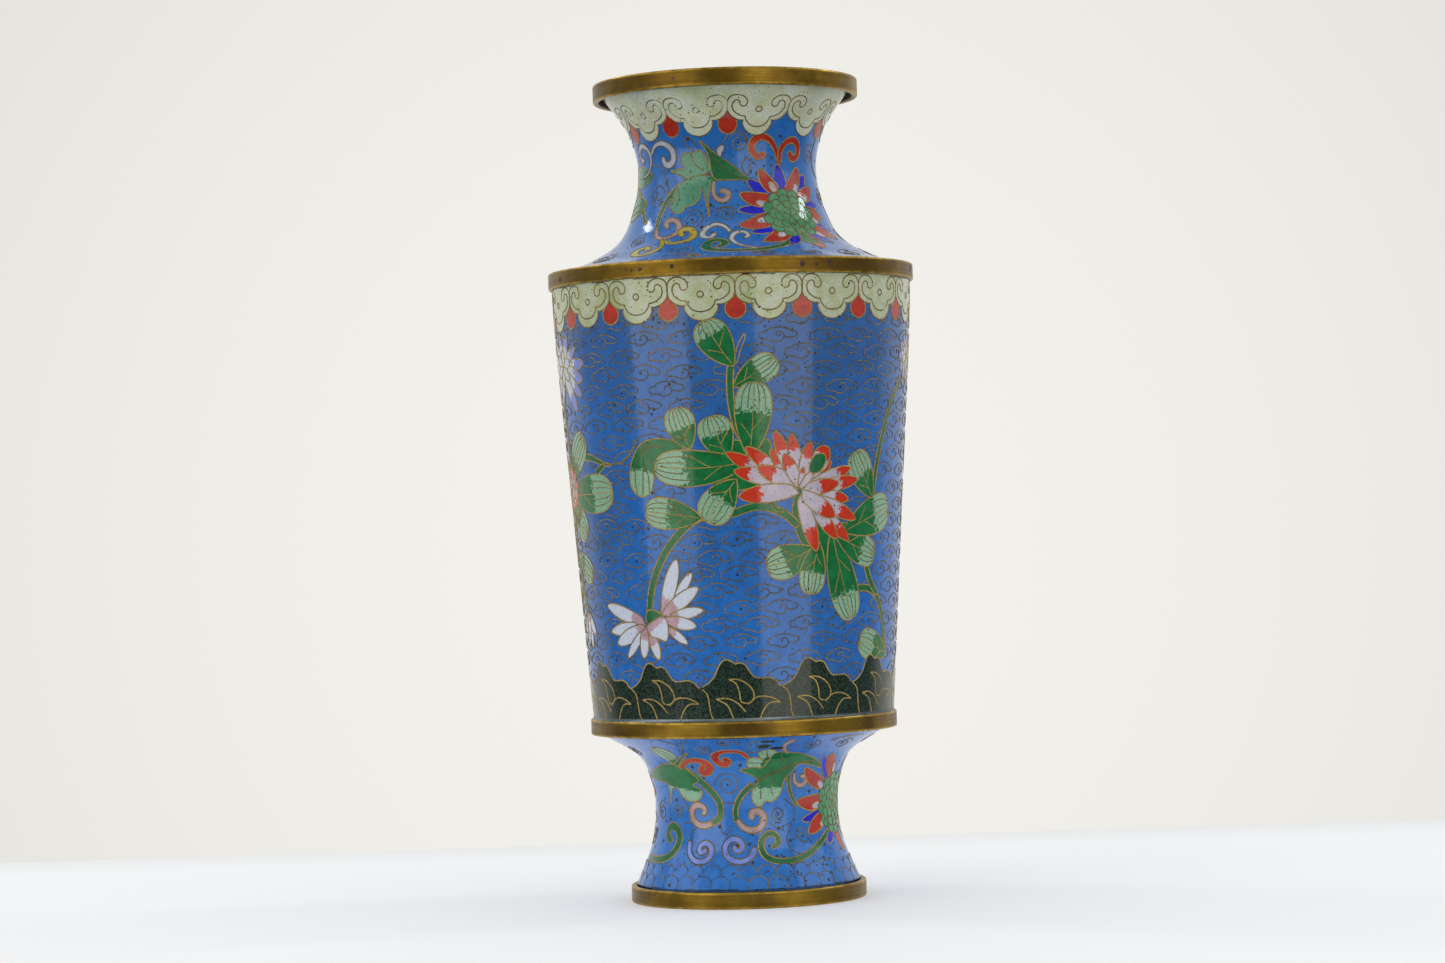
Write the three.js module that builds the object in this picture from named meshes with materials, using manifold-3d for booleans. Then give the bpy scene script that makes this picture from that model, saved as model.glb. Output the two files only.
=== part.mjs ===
// A cloisonne vase: a copper vessel soldered up from a neck, a tapered body and a waisted foot,
// with a brass band at each joint, a base plate, glass enamel fused on outside and inside,
// and the cloison wires that divide the enamel fields. Millimetres, +Z up, origin at the centre of the base.
import * as THREE from "three";
import { mergeVertices } from "three/addons/utils/BufferGeometryUtils.js";
import Module from "manifold-3d";

const wasm = await Module();
wasm.setup();
const { Manifold, Mesh } = wasm;

// Walls
const ENAMEL = 1.0; // outer enamel, as thick as its wires are high
const COPPER = 0.9; // sheet of the vessel
const LINING = 0.5; // counter-enamel inside
const SEAM = 0.1; // clearance left between fused or soldered neighbours
const COPPER_FACE = ENAMEL + SEAM; // depth of the copper's outer face under the enamel's
const LINING_FACE = COPPER_FACE + COPPER + SEAM;
const WALL = LINING_FACE + LINING;

// Heights of the brass bands above the table
const HEIGHT = 230;
const MOUTH_BAND = { bottom: 225.1, top: HEIGHT };
const SHOULDER_BAND = { bottom: 172.6, top: 177.1 };
const WAIST_BAND = { bottom: 47.3, top: 51.8 };
const FOOT_BAND = { bottom: 0, top: 4.7 };

// Outer radii of the bands
const MOUTH_RADIUS = 37.4;
const SHOULDER_RADIUS = 51.5;
const WAIST_RADIUS = 43.1;
const FOOT_RADIUS = 33.1;
const BAND_THICKNESS = 1.6;
const BAND_BEVEL = 0.3;
const LEDGE = 1.8; // thickness of the inner ledge that a section of the vessel butts against
const LIP = 1.1; // thickness of the flat lip round the mouth

// Outlines of the enamel's outer face, as radius and height, from the bottom up.
// The wall behind each is trimmed level at low and high, where it butts against a band.
const FOOT_OUTLINE = { low: FOOT_BAND.bottom + LEDGE + SEAM, high: WAIST_BAND.top - LEDGE - SEAM };
FOOT_OUTLINE.curve = new THREE.SplineCurve([
  new THREE.Vector2(31.3, 4.9),
  new THREE.Vector2(29.0, 10.5),
  new THREE.Vector2(26.5, 17.5),
  new THREE.Vector2(25.6, 25.5),
  new THREE.Vector2(26.5, 33.5),
  new THREE.Vector2(30.0, 41.0),
  new THREE.Vector2(40.4, 47.4),
]);
const BODY_OUTLINE = { low: WAIST_BAND.top + SEAM, high: SHOULDER_BAND.bottom - SEAM };
BODY_OUTLINE.curve = new THREE.SplineCurve([
  new THREE.Vector2(42.2, BODY_OUTLINE.low),
  new THREE.Vector2(46.0, 105.0),
  new THREE.Vector2(49.6, 154.0),
  new THREE.Vector2(50.5, BODY_OUTLINE.high),
]);
const NECK_OUTLINE = { low: SHOULDER_BAND.bottom + LEDGE + SEAM, high: MOUTH_BAND.top - LIP - SEAM };
NECK_OUTLINE.curve = new THREE.SplineCurve([
  new THREE.Vector2(49.6, 177.0),
  new THREE.Vector2(40.0, 180.0),
  new THREE.Vector2(30.0, 187.2),
  new THREE.Vector2(25.2, 203.0),
  new THREE.Vector2(27.5, 216.0),
  new THREE.Vector2(34.6, 226.6),
]);

// Borders of the enamel fields
const NECK_LAPPETS = 10; // cloud-collar heads round the mouth
const BODY_LAPPETS = 17; // cloud-collar heads under the shoulder
const WIRE_WIDTH = 0.5;
const NECK_BORDER = { cusp: 217.0, drop: 5.0 };
const BODY_BORDER = { cusp: 165.5, drop: 5.5 };
const ROCK_BORDER = { height: 63.0, swell: 3.2 };

// Facets round the axis, a whole number for each lappet
const NECK_FACETS = 3 * NECK_LAPPETS;
const BODY_FACETS = 3 * BODY_LAPPETS;
const FOOT_FACETS = 32;
const BAND_FACETS = 40;
const NECK_ROWS = 7;
const FOOT_ROWS = 6;
const BODY_ROWS = 2;

const BASE_PLATE = { radius: 27.6, bottom: 5.6 };

const copper = new THREE.MeshStandardMaterial({ color: "#a8623e", roughness: 0.45, metalness: 1 });
const brass = new THREE.MeshStandardMaterial({ color: "#8c6a2c", roughness: 0.38, metalness: 1 });
const wire = new THREE.MeshStandardMaterial({ color: "#7d6128", roughness: 0.4, metalness: 1 });
const blueEnamel = new THREE.MeshStandardMaterial({ color: "#2f62ba", roughness: 0.15 });
const paleEnamel = new THREE.MeshStandardMaterial({ color: "#b3c4a3", roughness: 0.15 });
const rockEnamel = new THREE.MeshStandardMaterial({ color: "#1f2f2c", roughness: 0.15 });
const liningEnamel = new THREE.MeshStandardMaterial({ color: "#2e7fb0", roughness: 0.25 });

const vase = new THREE.Group();

function add(name, geometry, material) {
  const mesh = new THREE.Mesh(geometry, material);
  mesh.name = name;
  vase.add(mesh);
}

// A ring turned from a closed section of [radius, height] corners, with its axis along +Z.
function turned(section, facets) {
  const corners = section.map(([r, z]) => new THREE.Vector2(r, z));
  const outline = THREE.ShapeUtils.area(corners) < 0 ? corners.reverse() : corners;
  return new THREE.LatheGeometry([...outline, outline[0]], facets).rotateX(Math.PI / 2);
}

// Points along an outline from the bottom up, moved in from the outer face by depth.
function inset(outline, depth, rows) {
  return Array.from({ length: rows + 1 }, (_, i) => {
    const point = outline.curve.getPoint(i / rows);
    const along = outline.curve.getTangent(i / rows);
    const height = THREE.MathUtils.clamp(point.y + along.x * depth, outline.low, outline.high);
    return [point.x - along.y * depth, height];
  });
}

// One layer of the wall, between two depths under the outer face.
function shell(outline, outer, inner, rows, facets) {
  const face = inset(outline, outer, rows);
  const back = inset(outline, inner, rows).reverse();
  return turned([...face, ...back], facets);
}

// The part of a layer between two edges that rise and fall with the angle round the axis.
function field(layer, facets, lowerEdge, upperEdge) {
  let kept = solid(layer);
  if (upperEdge) kept = kept.intersect(solid(below(upperEdge, facets)));
  if (lowerEdge) kept = kept.subtract(solid(below(lowerEdge, facets)));
  return geometryOf(kept);
}

// A thick ring that holds everything under an edge, down past the table.
function below(edge, facets) {
  const under = -10;
  const over = 1; // any height above under marks the corners that follow the edge
  const ring = turned([[10, under], [70, under], [70, over], [10, over]], facets);
  const position = ring.attributes.position;
  for (let i = 0; i < position.count; i++) {
    if (position.getZ(i) < over) continue;
    position.setZ(i, edge(Math.atan2(position.getX(i), -position.getY(i))));
  }
  return ring;
}

function solid(geometry) {
  const bare = geometry.clone().deleteAttribute("normal").deleteAttribute("uv");
  const merged = mergeVertices(bare, 1e-4);
  const mesh = new Mesh({
    numProp: 3,
    vertProperties: new Float32Array(merged.attributes.position.array),
    triVerts: new Uint32Array(merged.index.array),
  });
  return new Manifold(mesh);
}

function geometryOf(manifold) {
  const { vertProperties, triVerts } = manifold.getMesh();
  const geometry = new THREE.BufferGeometry();
  geometry.setAttribute("position", new THREE.BufferAttribute(vertProperties, 3));
  geometry.setIndex(new THREE.BufferAttribute(triVerts, 1));
  return geometry;
}

// The lower edge of a row of cloud-collar heads: a cusp between heads and a round drop under each.
const lappetEdge = (border, count) => (angle) =>
  border.cusp - border.drop * Math.abs(Math.sin((count * angle) / 2)) ** 0.7;

// The crest of the rocks: two waves of different length, so that no two peaks match.
const rockEdge = (angle) =>
  ROCK_BORDER.height + ROCK_BORDER.swell * (0.6 * Math.sin(7 * angle) + 0.4 * Math.sin(12 * angle + 1));

const raised = (edge, distance) => (angle) => edge(angle) + distance;

// Section of a brass band: an outer wall, with an inner ledge at its bottom or top.
function bandSection({ bottom, top }, radius, ledgeReach, ledgeAtTop) {
  const wall = radius - BAND_THICKNESS;
  const inner = wall - ledgeReach;
  const rim = ledgeAtTop ? bottom : top;
  const shelf = ledgeAtTop ? top : bottom;
  const step = ledgeAtTop ? top - LEDGE : bottom + LEDGE;
  const bevel = ledgeAtTop ? BAND_BEVEL : -BAND_BEVEL;
  return [
    [inner, shelf],
    [radius - BAND_BEVEL, shelf],
    [radius, shelf - bevel],
    [radius, rim + bevel],
    [radius - BAND_BEVEL, rim],
    [wall, rim],
    [wall, step],
    [inner, step],
  ];
}

const halfWire = WIRE_WIDTH / 2;
const wireEdge = halfWire + SEAM;

// Neck, from the shoulder to the lip
const neckEdge = lappetEdge(NECK_BORDER, NECK_LAPPETS);
const neckEnamel = shell(NECK_OUTLINE, 0, ENAMEL, NECK_ROWS, NECK_FACETS);
const neckField = (lower, upper) => field(neckEnamel, NECK_FACETS, lower, upper);
add("neck_copper", shell(NECK_OUTLINE, COPPER_FACE, COPPER_FACE + COPPER, NECK_ROWS, NECK_FACETS), copper);
add("neck_lining", shell(NECK_OUTLINE, LINING_FACE, WALL, NECK_ROWS, NECK_FACETS), liningEnamel);
add("neck_border_enamel", neckField(raised(neckEdge, wireEdge), null), paleEnamel);
add("neck_border_wire", neckField(raised(neckEdge, -halfWire), raised(neckEdge, halfWire)), wire);
add("neck_ground_enamel", neckField(null, raised(neckEdge, -wireEdge)), blueEnamel);

// Body, tapered down from the shoulder to the rocks at its bottom
const bodyEdge = lappetEdge(BODY_BORDER, BODY_LAPPETS);
const bodyEnamel = shell(BODY_OUTLINE, 0, ENAMEL, BODY_ROWS, BODY_FACETS);
const bodyField = (lower, upper) => field(bodyEnamel, BODY_FACETS, lower, upper);
add("body_copper", shell(BODY_OUTLINE, COPPER_FACE, COPPER_FACE + COPPER, BODY_ROWS, BODY_FACETS), copper);
add("body_lining", shell(BODY_OUTLINE, LINING_FACE, WALL, BODY_ROWS, BODY_FACETS), liningEnamel);
add("body_border_enamel", bodyField(raised(bodyEdge, wireEdge), null), paleEnamel);
add("body_border_wire", bodyField(raised(bodyEdge, -halfWire), raised(bodyEdge, halfWire)), wire);
add("body_ground_enamel", bodyField(raised(rockEdge, wireEdge), raised(bodyEdge, -wireEdge)), blueEnamel);
add("rock_border_wire", bodyField(raised(rockEdge, -halfWire), raised(rockEdge, halfWire)), wire);
add("rock_enamel", bodyField(null, raised(rockEdge, -wireEdge)), rockEnamel);

// Foot, waisted, with the base plate soldered inside it
add("foot_copper", shell(FOOT_OUTLINE, COPPER_FACE, COPPER_FACE + COPPER, FOOT_ROWS, FOOT_FACETS), copper);
add("foot_lining", shell(FOOT_OUTLINE, LINING_FACE, WALL, FOOT_ROWS, FOOT_FACETS), liningEnamel);
add("foot_enamel", shell(FOOT_OUTLINE, 0, ENAMEL, FOOT_ROWS, FOOT_FACETS), blueEnamel);

const disc = (radius, z0, z1) => turned([[0, z0], [radius, z0], [radius, z1], [0, z1]], FOOT_FACETS);
const plateTop = BASE_PLATE.bottom + COPPER;
const liningRadius = BASE_PLATE.radius - LINING;
add("base_plate", disc(BASE_PLATE.radius, BASE_PLATE.bottom, plateTop), copper);
add("base_lining", disc(liningRadius, plateTop + SEAM, plateTop + SEAM + LINING), liningEnamel);
add(
  "base_enamel",
  disc(liningRadius, BASE_PLATE.bottom - SEAM - LINING, BASE_PLATE.bottom - SEAM),
  liningEnamel,
);

// Brass bands
const MOUTH_FLANGE = 3.2; // reach of the mouth band's flat lip inside its wall
const JOINT_LEDGE = 2.1;
const FOOT_LEDGE = 3.2;
const mouthLip = MOUTH_BAND.top - LIP;
const mouthWall = MOUTH_RADIUS - BAND_THICKNESS;
add(
  "mouth_band",
  turned(
    [
      [mouthWall, MOUTH_BAND.bottom],
      [MOUTH_RADIUS - BAND_BEVEL, MOUTH_BAND.bottom],
      [MOUTH_RADIUS, MOUTH_BAND.bottom + BAND_BEVEL],
      [MOUTH_RADIUS, MOUTH_BAND.top - BAND_BEVEL],
      [MOUTH_RADIUS - BAND_BEVEL, MOUTH_BAND.top],
      [mouthWall - MOUTH_FLANGE, MOUTH_BAND.top],
      [mouthWall - MOUTH_FLANGE, mouthLip],
      [mouthWall, mouthLip],
    ],
    BAND_FACETS,
  ),
  brass,
);
add("shoulder_band", turned(bandSection(SHOULDER_BAND, SHOULDER_RADIUS, JOINT_LEDGE, false), BAND_FACETS), brass);
add("waist_band", turned(bandSection(WAIST_BAND, WAIST_RADIUS, JOINT_LEDGE, true), BAND_FACETS), brass);
add("foot_band", turned(bandSection(FOOT_BAND, FOOT_RADIUS, FOOT_LEDGE, false), BAND_FACETS), brass);

export default vase;
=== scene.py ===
# Visual model of a cloisonne vase: brass bands, enamel fields, and the enamel cells and wires set in them.
# Designs are drawn on charts in millimetres and laid on the vase's surfaces. Blender objects are in metres.
# A drawing's points are given as flat lists of their coordinates: x,y, x,y and so on.
import math
import random

import bpy
import numpy as np
from mathutils import Matrix, Vector
from mathutils.geometry import delaunay_2d_cdt


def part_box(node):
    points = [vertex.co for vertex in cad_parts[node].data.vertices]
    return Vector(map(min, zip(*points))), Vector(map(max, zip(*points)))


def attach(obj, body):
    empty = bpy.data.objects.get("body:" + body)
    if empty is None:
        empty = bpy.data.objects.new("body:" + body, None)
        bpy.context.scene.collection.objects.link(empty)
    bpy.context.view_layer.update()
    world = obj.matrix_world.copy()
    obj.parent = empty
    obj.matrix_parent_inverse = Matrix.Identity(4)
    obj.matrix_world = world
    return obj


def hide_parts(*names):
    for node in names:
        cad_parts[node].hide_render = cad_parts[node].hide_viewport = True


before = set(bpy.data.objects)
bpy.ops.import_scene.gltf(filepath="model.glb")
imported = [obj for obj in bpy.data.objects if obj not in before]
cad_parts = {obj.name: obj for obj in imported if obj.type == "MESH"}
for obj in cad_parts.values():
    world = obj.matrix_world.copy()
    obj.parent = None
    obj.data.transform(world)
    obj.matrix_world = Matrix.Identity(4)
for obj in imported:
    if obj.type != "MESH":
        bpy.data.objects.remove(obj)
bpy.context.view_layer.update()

MM = 0.001
rng = random.Random(17)

# Outlines of the enamel's outer face, as radius and height from the bottom up, as in the CAD model
FOOT_OUTLINE = [(31.3, 4.9), (29.0, 10.5), (26.5, 17.5), (25.6, 25.5), (26.5, 33.5), (30.0, 41.0),
                (40.4, 47.4)]
BODY_OUTLINE = [(42.2, 51.9), (46.0, 105.0), (49.6, 154.0), (50.5, 172.5)]
NECK_OUTLINE = [(49.6, 177.0), (40.0, 180.0), (30.0, 187.2), (25.2, 203.0), (27.5, 216.0), (34.6, 226.6)]
ENAMEL = 1.0  # thickness of the outer enamel
LINING_FACE, WALL = 2.1, 2.6  # depths of the lining's two faces
BAND_THICKNESS = 1.6
BAND_ROUNDING = 0.45
SEGMENTS = 240  # round every surface of revolution

# The layers of a design above the ground enamel's face
CELL_LIFT, CELL_ROOT = 0.05, -0.3
WIRE_TOP, WIRE_ROOT = 0.12, -0.06
WIRE_WIDTH = 0.44
THIN_WIRE = 0.34
VEIN_WIRE = 0.3
RASTER = 0.2  # pitch of the map of which cell lies on top
GOLDEN, OLIVE, DARK = 0.85, 0.3, 0.25  # tones of wire


# ---------------------------------------------------------------- curves

def pairs(coordinates):
    return np.reshape(np.asarray(coordinates, float), (-1, 2))


def spline(points, steps=12):
    """A smooth curve through the points."""
    p = pairs(points)
    p = np.vstack([p[:1], p, p[-1:]])
    w = np.linspace(0, 1, steps, endpoint=False)[:, None]
    pieces = []
    for a, b, c, d in zip(p, p[1:], p[2:], p[3:]):
        start, end = (c - a) / 2, (d - b) / 2
        bend = (3 * c - 3 * b - 2 * start - end) * w**2
        pieces.append((2 * b - 2 * c + start + end) * w**3 + bend + start * w + b)
    return np.vstack([*pieces, p[-1:]])


def loop(points, steps=8):
    """A smooth closed curve through the points."""
    p = pairs(points)
    return spline(np.vstack([p[-1:], p, p[:2]]), steps)[steps:-steps - 1]


def lengths(curve):
    return np.r_[0, np.cumsum(np.hypot(*np.diff(curve, axis=0).T))]


def spaced(curve, step):
    """The curve with its points a step apart."""
    s = lengths(curve)
    count = max(2, int(round(s[-1] / step)) + 1)
    at = np.linspace(0, s[-1], count)
    return np.column_stack([np.interp(at, s, curve[:, 0]), np.interp(at, s, curve[:, 1])])


def dense(outline, step=1.2):
    """The closed outline with points added along its longer edges."""
    points = []
    for a, b in zip(outline, np.roll(outline, -1, axis=0)):
        count = max(1, math.ceil(np.hypot(*(b - a)) / step))
        points += [a + (b - a) * k / count for k in range(count)]
    return np.array(points)


def sideways(curve):
    """Unit vectors to the left of an open curve."""
    d = np.gradient(curve, axis=0)
    d /= np.hypot(*d.T)[:, None] + 1e-9
    return np.column_stack([-d[:, 1], d[:, 0]])


def midrib(base, bend, tip, t):
    base, tip = np.array(base, float), np.array(tip, float)
    along = tip - base
    control = (base + tip) / 2 + bend * np.array([-along[1], along[0]]) / np.hypot(*along)
    t = t[:, None]
    return (1 - t) ** 2 * base + 2 * (1 - t) * t * control + t**2 * tip


def leaf_width(t):
    """Half width along a leaf that widens from a point to a round tip; 1 at its widest."""
    return np.maximum(t, 0) ** 0.8 * np.maximum(1 - t, 0) ** 0.4 / 0.456


def petal_width(t):
    """Half width along a petal with a narrow base and a pointed tip; 1 at its widest."""
    return (0.12 + np.maximum(t, 0)) ** 0.9 * np.maximum(1 - t, 0) ** 0.66 / 0.41


def blade(base, bend, tip, half_width, width_at, count=20):
    t = np.sin(np.linspace(0, math.pi / 2, count))
    centre = midrib(base, bend, tip, t)
    side = sideways(centre) * (half_width * width_at(t))[:, None]
    return np.vstack([centre + side, (centre - side)[-2:0:-1]])


def ribbon(points, start, end, full=None):
    """Outline of a curved band: half width start at its round end, full a third of the way on, and end."""
    centre = spaced(spline(points, 8), 0.55)
    half = np.interp(np.linspace(0, 1, len(centre)), (0, 0.35, 1), (start, full or start, end))[:, None]
    side = sideways(centre) * half
    back = centre[0] - centre[1]
    back /= np.hypot(*back)
    cap = [centre[0] + start * (math.cos(a) * back + math.sin(a) * sideways(centre)[0])
           for a in np.linspace(-math.pi / 2, math.pi / 2, 7)[1:-1]]
    return np.vstack([centre + side, (centre - side)[::-1], cap])


def spiral(centre, radius, turns, start_angle, way=1, inner=0.25):
    """A spiral from its outer end in to its centre."""
    u = np.linspace(0, 1, int(turns * 16) + 2)
    a = math.radians(start_angle) + way * u * turns * 2 * math.pi
    r = radius * (1 - u * (1 - inner))
    return np.column_stack([centre[0] + r * np.cos(a), centre[1] + r * np.sin(a)])


def inside(outline, points):
    """Which points a closed outline goes round."""
    x, y = points[:, :1], points[:, 1:]
    ax, ay = outline.T
    bx, by = np.roll(outline, -1, axis=0).T
    left = (bx - ax) * (y - ay) - (x - ax) * (by - ay) > 0
    upward, downward = (ay <= y) & (by > y), (ay > y) & (by <= y)
    return ((upward & left).sum(axis=1) - (downward & ~left).sum(axis=1)) != 0


# ---------------------------------------------------------------- materials

def add_node(tree, kind, inputs=None, **settings):
    node = tree.nodes.new("ShaderNode" + kind)
    for key, value in settings.items():
        setattr(node, key, value)
    for key, value in (inputs or {}).items():
        if isinstance(value, bpy.types.NodeSocket):
            tree.links.new(value, node.inputs[key])
        else:
            node.inputs[key].default_value = value
    return node


def ramp(tree, value, low, high, to_low, to_high):
    inputs = {"Value": value, "From Min": low, "From Max": high, "To Min": to_low, "To Max": to_high}
    return add_node(tree, "MapRange", inputs).outputs["Result"]


class Shade:
    """A node material measured in millimetres."""

    def __init__(self, name):
        self.material = bpy.data.materials.new(name)
        self.material.use_nodes = True
        self.tree = self.material.node_tree
        self.shader = self.tree.nodes["Principled BSDF"]
        place = add_node(self.tree, "TexCoord").outputs["Object"]
        scaled = add_node(self.tree, "VectorMath", {0: place, "Scale": 1000.0}, operation="SCALE")
        self.place = scaled.outputs["Vector"]

    def stretched(self, x, y, z):
        return add_node(self.tree, "VectorMath", {0: self.place, 1: (x, y, z)},
            operation="MULTIPLY").outputs[0]

    def noise(self, scale, detail=2.0, place=None):
        inputs = {"Vector": place or self.place, "Scale": scale, "Detail": detail, "Roughness": 0.6}
        return add_node(self.tree, "TexNoise", inputs).outputs["Fac"]

    def ramp(self, value, low, high, to_low=0.0, to_high=1.0):
        return ramp(self.tree, value, low, high, to_low, to_high)

    def mix(self, factor, a, b, blend="MIX"):
        mixed = add_node(self.tree, "Mix", data_type="RGBA", blend_type=blend)
        for index, value in ((0, factor), (6, a), (7, b)):
            if isinstance(value, bpy.types.NodeSocket):
                self.tree.links.new(value, mixed.inputs[index])
            else:
                mixed.inputs[index].default_value = value if index == 0 else (*value, 1.0)
        return mixed.outputs[2]

    def math(self, operation, a, b):
        return add_node(self.tree, "Math", {0: a, 1: b}, operation=operation).outputs[0]

    def spots(self, scale, size):
        """1 in round spots of random size, scattered about `scale` to a millimetre."""
        cells = add_node(self.tree, "TexVoronoi", {"Vector": self.place, "Scale": scale})
        size_here = self.ramp(cells.outputs["Color"], 0.45, 0.75, 0.0, size)
        gap = self.math("SUBTRACT", size_here, cells.outputs["Distance"])
        return self.ramp(gap, 0.0, 0.02)

    def bump(self, height, depth_mm, normal=None):
        inputs = {"Height": height, "Strength": 1.0, "Distance": depth_mm * MM}
        if normal:
            inputs["Normal"] = normal
        return add_node(self.tree, "Bump", inputs).outputs["Normal"]

    def finish(self, colour=None, roughness=None, normal=None, **constants):
        for key, value in (("Base Color", colour), ("Roughness", roughness), ("Normal", normal)):
            if isinstance(value, bpy.types.NodeSocket):
                self.tree.links.new(value, self.shader.inputs[key])
            elif value is not None:
                self.shader.inputs[key].default_value = value
        for key, value in constants.items():
            self.shader.inputs[key.replace("_", " ").title().replace("Ior", "IOR")].default_value = value
        return self.material


def enamel(name, base, mottle, tip=None, stain=None, blotch=0.3, grain=0.2, pits=0.15, flecks=0.0, worn=0.0):
    """Fused glass: two tones in blotches, fine grain, dark pits, and past shade 0.5 a flecked colour."""
    s = Shade(name)
    colour = s.mix(s.ramp(s.noise(blotch, 3.0), 0.4, 0.62), base, mottle)
    if stain:
        colour = s.mix(s.ramp(s.noise(0.045, 2.0), 0.54, 0.70, 0.0, 0.8), colour, stain)
    if tip:
        shade = add_node(s.tree, "Attribute", attribute_name="shade").outputs["Fac"]
        ragged = s.math("ADD", shade, s.ramp(s.noise(1.1, 2.0), 0.3, 0.7, -0.07, 0.07))
        flecked = s.mix(s.ramp(s.noise(2.4, 2.0), 0.54, 0.68, 0.0, flecks), tip, colour)
        colour = s.mix(s.ramp(ragged, 0.485, 0.515), colour, flecked)
    colour = s.mix(1.0, colour, s.ramp(s.noise(3.2, 3.0), 0.3, 0.7, 1 - grain, 1 + grain), "MULTIPLY")
    wear = s.noise(0.035, 1.0)
    if worn:
        height = add_node(s.tree, "SeparateXYZ", {0: s.place}).outputs["Z"]
        wear = s.math("ADD", wear, s.ramp(height, 85.0, 150.0, 0.0, 0.12))
        colour = s.mix(s.ramp(wear, 0.4, 0.7, 0.0, worn), colour, (0.03, 0.07, 0.15))
    fine = s.math("MULTIPLY", s.spots(1.0, 0.15 + 0.7 * pits), s.ramp(wear, 0.40, 0.56))
    pit = s.math("MAXIMUM", s.spots(0.42, pits), fine)
    colour = s.mix(pit, colour, (0.03, 0.022, 0.014))
    waves = s.bump(s.noise(0.3, 1.0), 0.005)
    normal = s.bump(s.math("SUBTRACT", 1.0, pit), 0.05, s.bump(s.noise(4.0, 1.0), 0.0015, waves))
    roughness = s.ramp(s.math("MAXIMUM", s.noise(1.3, 3.0), pit), 0.4, 1.0, 0.06, 0.45)
    return s.finish(colour, roughness, normal, specular_ior_level=0.5)


def brass_band(name):
    """Aged brass, brushed round, with lighter brass painted on its rounded edges (shade 1) as a highlight,
    and painted shade darkening its inner corners (shade 0).
    """
    s = Shade(name)
    lines = s.noise(1.0, 3.0, s.stretched(0.05, 0.05, 5.0))
    wear = s.noise(0.09, 4.0)
    shade = add_node(s.tree, "Attribute", attribute_name="shade").outputs["Fac"]
    colour = s.mix(s.ramp(wear, 0.35, 0.65), (0.13, 0.078, 0.010), (0.30, 0.19, 0.026))
    colour = s.mix(s.ramp(lines, 0.35, 0.7, 0.0, 0.6), colour, (0.10, 0.055, 0.008))
    colour = s.mix(s.ramp(s.noise(0.03, 3.0), 0.48, 0.60, 0.0, 0.55), colour, (0.085, 0.045, 0.014))
    # Painted highlight: lighter brass on the rounded edges, where they catch the light.
    painted_edge_highlight = s.math("MULTIPLY", s.ramp(shade, 0.55, 0.85), s.ramp(s.noise(0.35, 3.0), 0.35, 0.6, 0.25, 0.9))
    colour = s.mix(painted_edge_highlight, colour, (0.52, 0.33, 0.06))
    # Tarnish spots, and painted shade in the inner corners (shade 0).
    tarnish = s.math("MAXIMUM", s.spots(0.16, 0.10), s.ramp(shade, 0.35, 0.2))
    colour = s.mix(tarnish, colour, (0.05, 0.035, 0.025))
    normal = s.bump(lines, 0.03, s.bump(s.noise(0.8, 2.0), 0.02))
    roughness = s.ramp(s.math("MAXIMUM", lines, tarnish), 0.25, 0.9, 0.28, 0.52)
    return s.finish(colour, roughness, normal, metallic=1.0)


def tarnish_spot(name):
    """A grey-brown spot eaten into brass."""
    s = Shade(name)
    colour = s.mix(s.ramp(s.noise(1.6, 3.0), 0.4, 0.6), (0.028, 0.022, 0.024), (0.09, 0.06, 0.035))
    return s.finish(colour, s.ramp(s.noise(2.5), 0.3, 0.7, 0.45, 0.7), s.bump(s.noise(3.0, 2.0), 0.03),
                    metallic=0.4)


def cloison_wire(name):
    """Flat wire polished with the enamel: dark olive where its tone (shade) is 0, golden where it is 1."""
    s = Shade(name)
    tone = add_node(s.tree, "Attribute", attribute_name="shade").outputs["Fac"]
    uneven = s.math("ADD", tone, s.ramp(s.noise(0.12, 3.0), 0.3, 0.7, -0.4, 0.4))
    colour = s.mix(s.ramp(uneven, 0.0, 1.0), (0.10, 0.078, 0.028), (0.46, 0.31, 0.075))
    colour = s.mix(s.ramp(s.noise(2.5, 2.0), 0.5, 0.75), colour, (0.05, 0.036, 0.016))
    normal = s.bump(s.noise(5.0, 2.0), 0.01)
    return s.finish(colour, s.ramp(s.noise(1.5), 0.3, 0.7, 0.3, 0.5), normal, metallic=0.35)


def seam_highlight_metal(name):
    """Bright grey metal in place of the enamel, a painted highlight line, broken by darker patches where the
    highlight is painted weaker.
    """
    s = Shade(name)
    colour = s.mix(s.ramp(s.noise(0.03, 2.0), 0.40, 0.60), (0.06, 0.08, 0.085), (0.22, 0.26, 0.28))
    return s.finish(colour, s.ramp(s.noise(1.2), 0.3, 0.7, 0.25, 0.4), s.bump(s.noise(0.5, 2.0), 0.02),
                    metallic=0.8)


def copper_sheet(name):
    s = Shade(name)
    colour = s.mix(s.ramp(s.noise(0.15, 4.0), 0.35, 0.65), (0.42, 0.17, 0.09), (0.22, 0.09, 0.05))
    normal = s.bump(s.noise(0.6, 2.0), 0.05)
    return s.finish(colour, s.ramp(s.noise(0.8), 0.3, 0.7, 0.35, 0.6), normal, metallic=1.0)


def table_top(name):
    """Matt white laminate with painted shade, greyer along its far edge, and a faint glow of its own,
    painted light that lifts the shadows on it.
    """
    s = Shade(name)
    away = add_node(s.tree, "SeparateXYZ", {0: s.place}).outputs["Y"]
    # Painted shade: greyer towards the far edge.
    tone = s.mix(s.ramp(away, 140.0, 190.0), (0.88, 0.885, 0.90), (0.80, 0.80, 0.80))
    tone = s.mix(s.ramp(s.noise(0.004, 2.0), 0.3, 0.7, 0.0, 0.06), tone, (0.6, 0.6, 0.6))
    # Painted light: the top glows in its own colour.
    s.tree.links.new(tone, s.shader.inputs["Emission Color"])
    return s.finish(tone, 0.8, s.bump(s.noise(0.6, 3.0), 0.02), emission_strength=0.2)


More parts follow.
